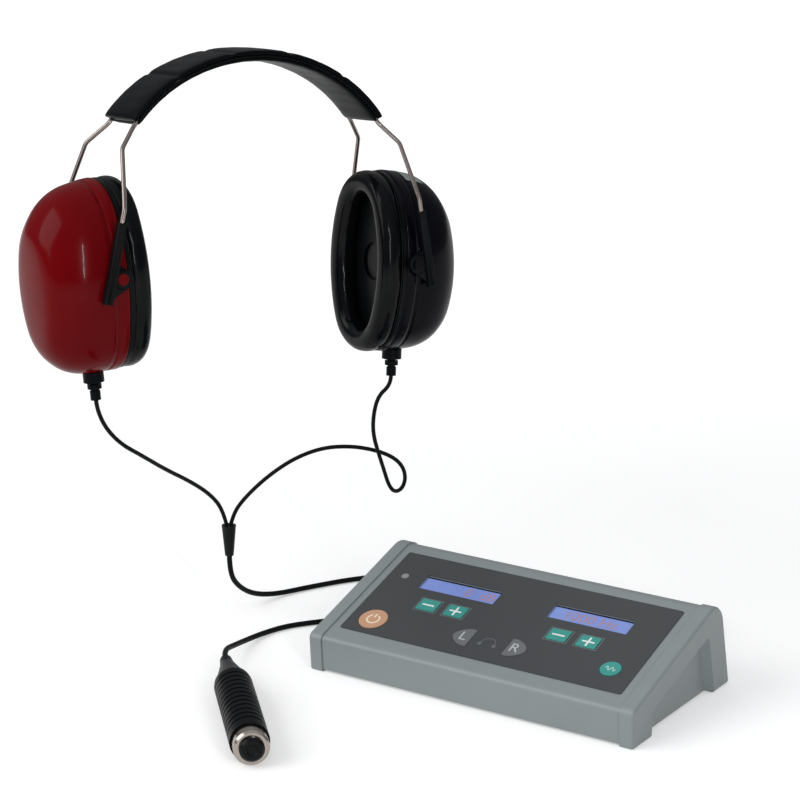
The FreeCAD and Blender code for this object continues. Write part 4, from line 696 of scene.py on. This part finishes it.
def padded_strip(name, half_width, top, low, squareness, welds, weld_depth, end_pinch):
    """A strip of the headband between two depths: a cylinder cut along, flattened and bent."""
    piece = fresh(bpy.ops.mesh.primitive_cylinder_add, vertices=56, radius=1, depth=2)

    def runs_along(edge):
        a, b = (piece.data.vertices[i].co for i in edge.vertices)
        return abs(a.z - b.z) > 1

    # each long edge is cut in 81, and each piece of it in 3
    edit_only(piece, "EDGE", runs_along)
    bpy.ops.mesh.subdivide(number_cuts=80)
    bpy.ops.mesh.subdivide(number_cuts=2)
    edit_only(piece, "FACE", lambda facet: abs(facet.normal.z) > 0.9)
    bpy.ops.mesh.inset(thickness=0.12)
    bpy.ops.mesh.inset(thickness=0.35)
    bpy.ops.object.mode_set(mode="OBJECT")
    for vertex in piece.data.vertices:
        x, y, along = vertex.co
        radial = min(1.0, math.hypot(x, y))
        around = math.atan2(y, x)
        wide = math.copysign(abs(math.cos(around)) ** squareness, math.cos(around))
        thick = math.copysign(abs(math.sin(around)) ** squareness, math.sin(around))
        turn = along * BAND_END
        puff = 1.0
        for weld in welds:
            gap = abs(math.degrees(turn) - weld) / WELD_REACH
            puff -= weld_depth * math.exp(-gap * gap)
        ending = max(0.0, (abs(along) - PINCH_FROM) / (1 - PINCH_FROM))
        puff -= end_pinch * ending ** 2
        slack = CREASE * math.sin(turn * 61 + 1.3 * math.sin(around * 2)) * math.sin(around * 3 + turn * 9)
        middle = (top + low) / 2
        half = (low - top) / 2 * (puff + slack)
        end_round = 0.0012 * (1 - radial) * math.copysign(1, along) if abs(along) > 0.999 else 0.0
        vertex.co = band_spot(turn + end_round / SIDE_RADIUS, middle - half * thick * radial,
                              half_width * wide * radial * (0.985 + 0.015 * puff))
    faced_outwards(piece)
    piece.data.shade_smooth()
    return settled(name, piece, head, vinyl_black, "console")


sleeve = padded_strip("headband_sleeve", half_width=0.0199, top=-0.0002, low=0.0043, squareness=0.52,
                      welds=SLEEVE_WELDS, weld_depth=0.5, end_pinch=0.35)
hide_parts("band_cover")
under_pad = padded_strip("headband_pad", half_width=0.0186, top=0.0035, low=0.0076, squareness=0.62,
                         welds=(), weld_depth=0, end_pinch=0.5)
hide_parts("head_pad")

# the flat welded hem that joins sleeve and pad along both edges
for word, across in (("front", -0.0196), ("rear", 0.0196)):
    line = [band_spot(HEM_END * step / HEM_STEPS, 0.0040, across)
            for step in range(-HEM_STEPS, HEM_STEPS + 1)]
    hem = tube_along("headband_hem_" + word, line, 0.0013)
    settled(hem.name, hem, head, vinyl_black, "console")


# ---- Sliders and back plates -----------------------------------------------
# Glass-filled nylon sliders clamp on the wires; the ring plates behind the cushions
# are pressed into the cups' mouths.
slider_black = moulded("slider_black", (0.003, 0.0035, 0.004), 0.33, grain=1600, relief=0.02, mottle=0.3,
                       spread=0.3, shine=0.09)
dress(("left_back_plate", "right_back_plate"), slider_black)
SLIDER_LEAN = math.radians(10.9)
SLIDER_TOP = Vector((PIVOT_OUT + 0.0006, 0, 0.0323))
SLIDER_LONG = 0.0472
SLIDER_WIDE = 0.0051
SLIDER_IN = 0.0366
SLIDER_THICK = 0.0044
SLIDER_BORDER = 0.0010
CHANNEL_DEEP = 0.0007
HUB_RADIUS = 0.0062
HUB_THICK = 0.0029
HUB_BORDER = 0.0013
HUB_SINK = 0.0005
WEB_THICK = 0.0029
# the plate between bar and hub: for each of its corners, out from the pivot and up from it
WEB_CORNERS = {(-1, 1): (-0.0029, 0.0055), (1, 1): (0.0050, 0.0097), (-1, -1): (-0.0030, -0.0054),
               (1, -1): (0.0092, -0.0131)}


def sink_outer_face(piece, border, deep):
    """Leaves a raised border round the face that looks outwards."""
    edit_only(piece, "FACE", lambda facet: facet.normal.y > 0.9)
    bpy.ops.mesh.inset(thickness=border)
    bpy.ops.mesh.inset(thickness=border / 5, depth=-deep)
    bpy.ops.object.mode_set(mode="OBJECT")


def rounded(piece, radius):
    """Breaks the sharp edges, as a mould does."""
    only(piece)
    soften = piece.modifiers.new("edges", "BEVEL")
    soften.width = radius
    soften.segments = 2
    soften.limit_method = "ANGLE"
    soften.angle_limit = math.radians(30)
    bpy.ops.object.modifier_apply(modifier=soften.name)


def copied(piece):
    """A second piece with a mesh of its own."""
    twin = piece.copy()
    twin.data = piece.data.copy()
    bpy.context.scene.collection.objects.link(twin)
    return twin


# the bar that grips the wire
bar = fresh(bpy.ops.mesh.primitive_cube_add, size=1)
bar.data.transform(Matrix.Diagonal((SLIDER_WIDE, SLIDER_THICK, SLIDER_LONG, 1)))
sink_outer_face(bar, SLIDER_BORDER, CHANNEL_DEEP)
rounded(bar, 0.0003)
down_bar = Vector((math.sin(SLIDER_LEAN), 0, -math.cos(SLIDER_LEAN)))
bar_middle = SLIDER_TOP + down_bar * SLIDER_LONG / 2 + Vector((0, SLIDER_IN + SLIDER_THICK / 2, 0))
bar.data.transform(Matrix.Translation(bar_middle) @ Matrix.Rotation(-SLIDER_LEAN, 4, "Y"))

# the hub round the pivot, and the web that joins it to the bar
hub = fresh(bpy.ops.mesh.primitive_cylinder_add, vertices=48, radius=HUB_RADIUS, depth=HUB_THICK)
hub.data.transform(Matrix.Translation((PIVOT_OUT, SLIDER_IN + HUB_THICK / 2, 0))
                   @ Matrix.Rotation(-math.pi / 2, 4, "X"))
sink_outer_face(hub, HUB_BORDER, HUB_SINK)
rounded(hub, 0.0003)
web = fresh(bpy.ops.mesh.primitive_cube_add, size=2)
for vertex in web.data.vertices:
    out, up = WEB_CORNERS[round(vertex.co.x), round(vertex.co.z)]
    vertex.co = (PIVOT_OUT + out, SLIDER_IN + WEB_THICK * (vertex.co.y + 1) / 2, up)
faced_outwards(web)
rounded(web, 0.0002)

# one slider is modelled, and mirrored copies make the four
only(bar)
hub.select_set(True)
web.select_set(True)
bpy.ops.object.join()
slider = bpy.context.object
slider.data.shade_flat()
for word, side in (("right", -1), ("left", 1)):
    for part, y_side in (("front", -1), ("rear", 1)):
        slider_name = word + "_" + part + "_slider"
        moulding = copied(slider)
        faced_outwards(moulding, side * y_side < 0)
        settled(slider_name + "_moulding", moulding, head @ Matrix.Diagonal((side, y_side, 1, 1)),
                slider_black, word + "_sliders")
        bpy.ops.object.shade_smooth_by_angle(angle=math.radians(35))
        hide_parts(slider_name)
bpy.data.objects.remove(slider)


# ---- Ear cups --------------------------------------------------------------
# Injection-moulded ABS shells, red for the right ear and blue-black for the left, each
# with a fine groove behind its rim, and rivets of the same colour.
CUP_DROP = 0.0020
CUP_SAG = 0.0050
CUP_DEPTH = 0.0450
RIM_OUT = 0.0944
CUP_WIDE = 0.0354
CUP_HIGH = 0.0569
CUP_END_RADIUS = 0.0300
RIM_POINTS = 120
# how the outline shrinks towards the outer face: share of the depth, scale
CUP_SHAPE = ((0.0, 1.0), (0.25, 0.985), (0.5, 0.955), (0.7, 0.88), (0.85, 0.765), (0.95, 0.64), (1.0, 0.5))
# the rim's edge is rounded: share of the depth, how far the outline is drawn in there
CUP_EDGE = {0: 0.0014, 0.005: 0.0009, 0.013: 0.0005, 0.024: 0.0002, 0.038: 0.00005}
# the groove round the cup lies at this share of the depth
GROOVE_AT = 0.008 / CUP_DEPTH
GROOVE_DEEP = 0.0004
# the outer face is almost flat, with a slight dome: scale, height in millimetres
CUP_FACE = ((0.43, 0.4), (0.34, 0.75), (0.25, 1.0), (0.16, 1.15), (0.08, 1.22), (0.0, 1.24))


def oval_spot(around, inset=0.0):
    """A point (y, z) of the cup's oval, at an angle from its top: long side arcs, round ends."""
    wide, high, end = CUP_WIDE - inset, CUP_HIGH - inset, CUP_END_RADIUS - inset
    rise = high - end
    side = (wide ** 2 + rise ** 2 - end ** 2) / (2 * (wide - end))
    sine, cosine = math.sin(around), math.cos(around)
    corner = Vector((-(side - wide), 0)) + Vector((side - wide, rise)).normalized() * side
    if abs(sine) * corner.y > abs(cosine) * corner.x:
        y, z, radius = -(side - wide) * math.copysign(1, sine), 0, side
    else:
        y, z, radius = 0, rise * math.copysign(1, cosine), end
    along = sine * y + cosine * z
    reach = along + math.sqrt(along ** 2 - (y * y + z * z - radius ** 2))
    return sine * reach, cosine * reach


def cup_scale(share):
    """The outline's scale at a share of the depth, on a smooth curve through CUP_SHAPE."""
    spots = [(-0.25, 1.0)] + list(CUP_SHAPE) + [(1.025, 0.3)]
    for i in range(1, len(spots) - 2):
        (x0, y0), (x1, y1), (x2, y2), (x3, y3) = spots[i - 1:i + 3]
        if share <= x2:
            t = (share - x1) / (x2 - x1)
            slope1 = (y2 - y0) / (x2 - x0) * (x2 - x1)
            slope2 = (y3 - y1) / (x3 - x1) * (x2 - x1)
            return (y1 * (1 + 2 * t) * (1 - t) ** 2 + slope1 * t * (1 - t) ** 2
                    + y2 * t * t * (3 - 2 * t) + slope2 * t * t * (t - 1))
    return y2


def ring_stack(rings):
    """A closed skin of oval rings, (x, scale, inset, drop) of each, merged where they meet."""
    piece = extruded_rings(RIM_POINTS, len(rings))
    for vertex in piece.data.vertices:
        around = math.atan2(vertex.co.x, vertex.co.y)
        x, scale, inset, drop = rings[round(vertex.co.z)]
        y, z = oval_spot(around, inset)
        vertex.co = (x, y * scale, z * scale - CUP_DROP - drop)
    bpy.ops.object.mode_set(mode="EDIT")
    bpy.ops.mesh.select_all(action="SELECT")
    bpy.ops.mesh.remove_doubles(threshold=0.00001)
    bpy.ops.object.mode_set(mode="OBJECT")
    return piece


def cup_rings():
    """The rings of a cup, from its edge over the groove to the middle of its outer face."""
    shares = list(CUP_EDGE) + [0.08, 0.13] + [GROOVE_AT + step for step in (-0.008, -0.004, 0.004, 0.008)]
    shares += [0.24, 0.3] + [0.36 + 0.04 * i for i in range(11)]
    shares += [0.79, 0.82, 0.85, 0.875, 0.9, 0.92, 0.94, 0.955, 0.97, 0.98, 0.99, 1.0]
    rings = []
    for share in shares:
        inset = GROOVE_DEEP if abs(share - GROOVE_AT) < 0.006 else CUP_EDGE.get(share, 0.0)
        rings.append((RIM_OUT + share * CUP_DEPTH, cup_scale(share), inset, CUP_SAG * share ** 2))
    for scale, dome in CUP_FACE:
        rings.append((RIM_OUT + CUP_DEPTH + dome / 1000, scale, 0.0, CUP_SAG))
    return rings


cup_red = moulded("cup_red", (0.130, 0.0008, 0.0024), 0.22, grain=700, relief=0.02, mottle=0.22, spread=0.15,
                  shine=0.035)
cup_dark = moulded("cup_dark", (0.0016, 0.0018, 0.0042), 0.24, grain=700, relief=0.02, mottle=0.3,
                   spread=0.15, shine=0.045)
for paint in (cup_red, cup_dark):
    feed(shader_of(paint), {"Coat Weight": 0.06, "Coat Roughness": 0.07})
dress(("right_pivot_pins",), cup_red)
dress(("left_pivot_pins",), cup_dark)
for word, paint, slot in (("right", cup_red, "cup_red"), ("left", cup_dark, "cup_dark")):
    shell = ring_stack(cup_rings())
    faced_outwards(shell, word == "right")
    settled(word + "_cup_moulding", shell, cup_place(word), paint, word + "_cup")
    wall = shell.modifiers.new("wall", "SOLIDIFY")
    wall.thickness = 0.0024
    wall.offset = -1
    shell.data.shade_smooth()
    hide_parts(word + "_cup_shell")

# a bare pale tag stuck on top of the dark cup: from and to, round the cup and in its depth
TAG_FRONT, TAG_REAR = math.radians(-17), math.radians(8)
TAG_START, TAG_END = 0.21, 0.50
TAG_LIFT = 0.00012
tag = fresh(bpy.ops.mesh.primitive_grid_add, x_subdivisions=16, y_subdivisions=10, size=2)
for vertex in tag.data.vertices:
    share = TAG_START + (TAG_END - TAG_START) * (vertex.co.x + 1) / 2
    y, z = oval_spot(TAG_FRONT + (TAG_REAR - TAG_FRONT) * (vertex.co.y + 1) / 2, -TAG_LIFT)
    scale = cup_scale(share)
    vertex.co = (RIM_OUT + share * CUP_DEPTH, y * scale, z * scale - CUP_DROP - CUP_SAG * share ** 2)
tag_paper = moulded("tag_paper", (0.25, 0.28, 0.27), 0.55, grain=1800, relief=0.01, mottle=0.5, shine=0.2)
settled("blank_tag", tag, cup_place("left"), tag_paper, "left_cup")
label = tag.modifiers.new("label", "SOLIDIFY")
label.thickness = 0.0001


# ---- Ear cushions ----------------------------------------------------------
# Foam rings in a glossy black film, welded to a thin flange that snaps on the back plate.
CUSHION_BACK = RIM_OUT - 0.0025
CUSHION_THICK = 0.0135
CUSHION_WIDE = 0.015
CUSHION_TUCK = math.radians(-40)
SECTION_STEPS = 28
BEAD_STEPS = 96
cushion_film = moulded("cushion_film", (0.0022, 0.0026, 0.0032), 0.22, grain=420, relief=0.05, mottle=0.35,
                       spread=0.2, shine=0.06)
feed(shader_of(cushion_film), {"Coat Weight": 0.09, "Coat Roughness": 0.09})


def cushion_rings():
    """Section of the ring: out from the plate, round over the face, in again, back along the plate."""
    rings = []
    for i in range(SECTION_STEPS + 1):
        angle = CUSHION_TUCK + (math.pi - 2 * CUSHION_TUCK) * i / SECTION_STEPS
        rise = (math.sin(angle) - math.sin(CUSHION_TUCK)) / (1 - math.sin(CUSHION_TUCK))
        inset = 0.0002 + CUSHION_WIDE / 2 * (1 - math.copysign(abs(math.cos(angle)) ** 0.85, math.cos(angle)))
        rings.append((CUSHION_BACK - CUSHION_THICK * rise ** 0.9, 1.0, inset, 0.0))
    first, last = rings[0][2], rings[-1][2]
    for share in (0.75, 0.5, 0.25, 0.0):
        rings.append((CUSHION_BACK, 1.0, first + (last - first) * share, 0.0))
    return rings


def inflated(piece, voxel, pressure, cap):
    """Remeshes a soft form, inflates it as cloth and keeps each point within a cap."""
    only(piece)
    remesh = piece.modifiers.new("remesh", "REMESH")
    remesh.mode = "VOXEL"
    remesh.voxel_size = voxel
    bpy.ops.object.modifier_apply(modifier=remesh.name)
    before = [vertex.co.copy() for vertex in piece.data.vertices]
    group = piece.vertex_groups.new(name="held")
    group.add([i for i, place in enumerate(before) if place.x > CUSHION_BACK - 0.0012], 1.0, "ADD")
    cloth = piece.modifiers.new("cloth", "CLOTH")
    cloth.settings.use_pressure = True
    cloth.settings.uniform_pressure_force = pressure
    cloth.settings.vertex_group_mass = "held"
    cloth.settings.effector_weights.gravity = 0
    cloth.settings.tension_stiffness = 40
    cloth.settings.compression_stiffness = 40
    for frame_number in range(1, 16):
        bpy.context.scene.frame_set(frame_number)
    bpy.ops.object.modifier_apply(modifier=cloth.name)
    bpy.context.scene.frame_set(1)
    for vertex, start in zip(piece.data.vertices, before):
        move = vertex.co - start
        if move.length > cap:
            vertex.co = start + move * (cap / move.length)
    piece.vertex_groups.clear()
    smooth = piece.modifiers.new("smooth", "SUBSURF")
    smooth.levels = smooth.render_levels = 1
    bpy.ops.object.modifier_apply(modifier=smooth.name)


pad = ring_stack(cushion_rings())
faced_outwards(pad)
inflated(pad, voxel=0.0022, pressure=4.0, cap=0.0012)
for word in ("right", "left"):
    cushion = copied(pad)
    if word == "right":
        faced_outwards(cushion, mirrored=True)
    settled(word + "_cushion_ring", cushion, cup_place(word), cushion_film, word + "_cup")
    cushion.data.shade_smooth()
    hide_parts(word + "_cushion")
    # the welded bead where the film meets its flange
    line = []
    for i in range(BEAD_STEPS + 1):
        y, z = oval_spot(math.pi * 2 * i / BEAD_STEPS, 0.0014)
        line.append(Vector((CUSHION_BACK - 0.0004, y, z - CUP_DROP)))
    bead = tube_along(word + "_cushion_bead", line, 0.0010)
    settled(bead.name, bead, cup_place(word), cushion_film, word + "_cup")
bpy.data.objects.remove(pad)


# ---- Inside the cups -------------------------------------------------------
# An earphone sits on each back plate behind the cushion, and open-cell foam fills the
# cup behind it.
driver_black = moulded("driver_black", (0.012, 0.012, 0.012), 0.5, grain=1200, relief=0.05, shine=0.3)
dress(("left_driver", "right_driver"), driver_black)
foam = moulded("foam", (0.10, 0.10, 0.10), 0.9, grain=1100, relief=0.5, mottle=0.4)
dress(("left_liner", "right_liner"), foam)


# ---- Floor, backdrop and light ---------------------------------------------
# A pale seamless floor that reads as white to the camera but keeps soft shadows, under
# a dim dome of soft light, a broad lamp from the left and a narrow strip from the right.
floor = fresh(bpy.ops.mesh.primitive_plane_add, size=30)
floor.name = "floor"
floor_white = bpy.data.materials.new("floor_white")
floor_white.use_nodes = True
tree = floor_white.node_tree
ray = added(tree, "LightPath").outputs
seen = added(tree, "Math", {0: ray["Is Camera Ray"], 1: ray["Is Glossy Ray"]}, operation="MAXIMUM")
away = added(tree, "VectorMath", {0: added(tree, "TexCoord").outputs["Object"]}, operation="LENGTH")
glow = added(tree, "MapRange", {"Value": away.outputs["Value"], "From Min": 0.4, "From Max": 1.6,
                                "To Min": 0.36, "To Max": 0.62})
lift = added(tree, "Math", {0: seen.outputs[0], 1: glow.outputs["Result"]}, operation="MULTIPLY")
feed(shader_of(floor_white), {"Base Color": (0.80, 0.80, 0.80, 1), "Roughness": 0.9,
                              "Specular IOR Level": 0.1, "Emission Color": (1, 1, 1, 1),
                              "Emission Strength": lift.outputs[0]})
floor.data.materials.append(floor_white)

world = bpy.data.worlds.new("studio")
bpy.context.scene.world = world
world.use_nodes = True
tree = world.node_tree
tree.nodes.clear()
white = added(tree, "Background", {"Color": (1, 1, 1, 1), "Strength": 1.0})
# the soft light comes from above, and the horizon is dimmer
parts = added(tree, "SeparateXYZ", {0: added(tree, "TexCoord").outputs["Generated"]})
dome = added(tree, "MapRange", {"Value": parts.outputs["Z"], "From Min": 0.0, "From Max": 1.0,
                                "To Min": 0.14, "To Max": 0.74})
soft = added(tree, "Background", {"Color": (0.97, 0.98, 1.0, 1), "Strength": dome.outputs["Result"]})
mix = added(tree, "MixShader", {"Fac": added(tree, "LightPath").outputs["Is Camera Ray"],
                                1: soft.outputs[0], 2: white.outputs[0]})
added(tree, "OutputWorld", {"Surface": mix.outputs[0]})


def panel_light(name, place, target, size, power):
    data = bpy.data.lights.new(name, "AREA")
    data.shape = "RECTANGLE"
    data.size, data.size_y = size
    data.energy = power
    lamp = bpy.data.objects.new(name, data)
    lamp.location = place
    lamp.rotation_euler = (Vector(target) - Vector(place)).to_track_quat("-Z", "Y").to_euler()
    bpy.context.scene.collection.objects.link(lamp)


panel_light("key_panel", place=(-1.2, -1.6, 1.4), target=(0, 0, 0.1), size=(2.0, 1.6), power=33)
panel_light("strip_panel", place=(1.31, -1.00, 0.67), target=(-0.1, 0, 0.23), size=(0.02, 0.7), power=7)

bpy.context.scene.view_settings.view_transform = "Standard"
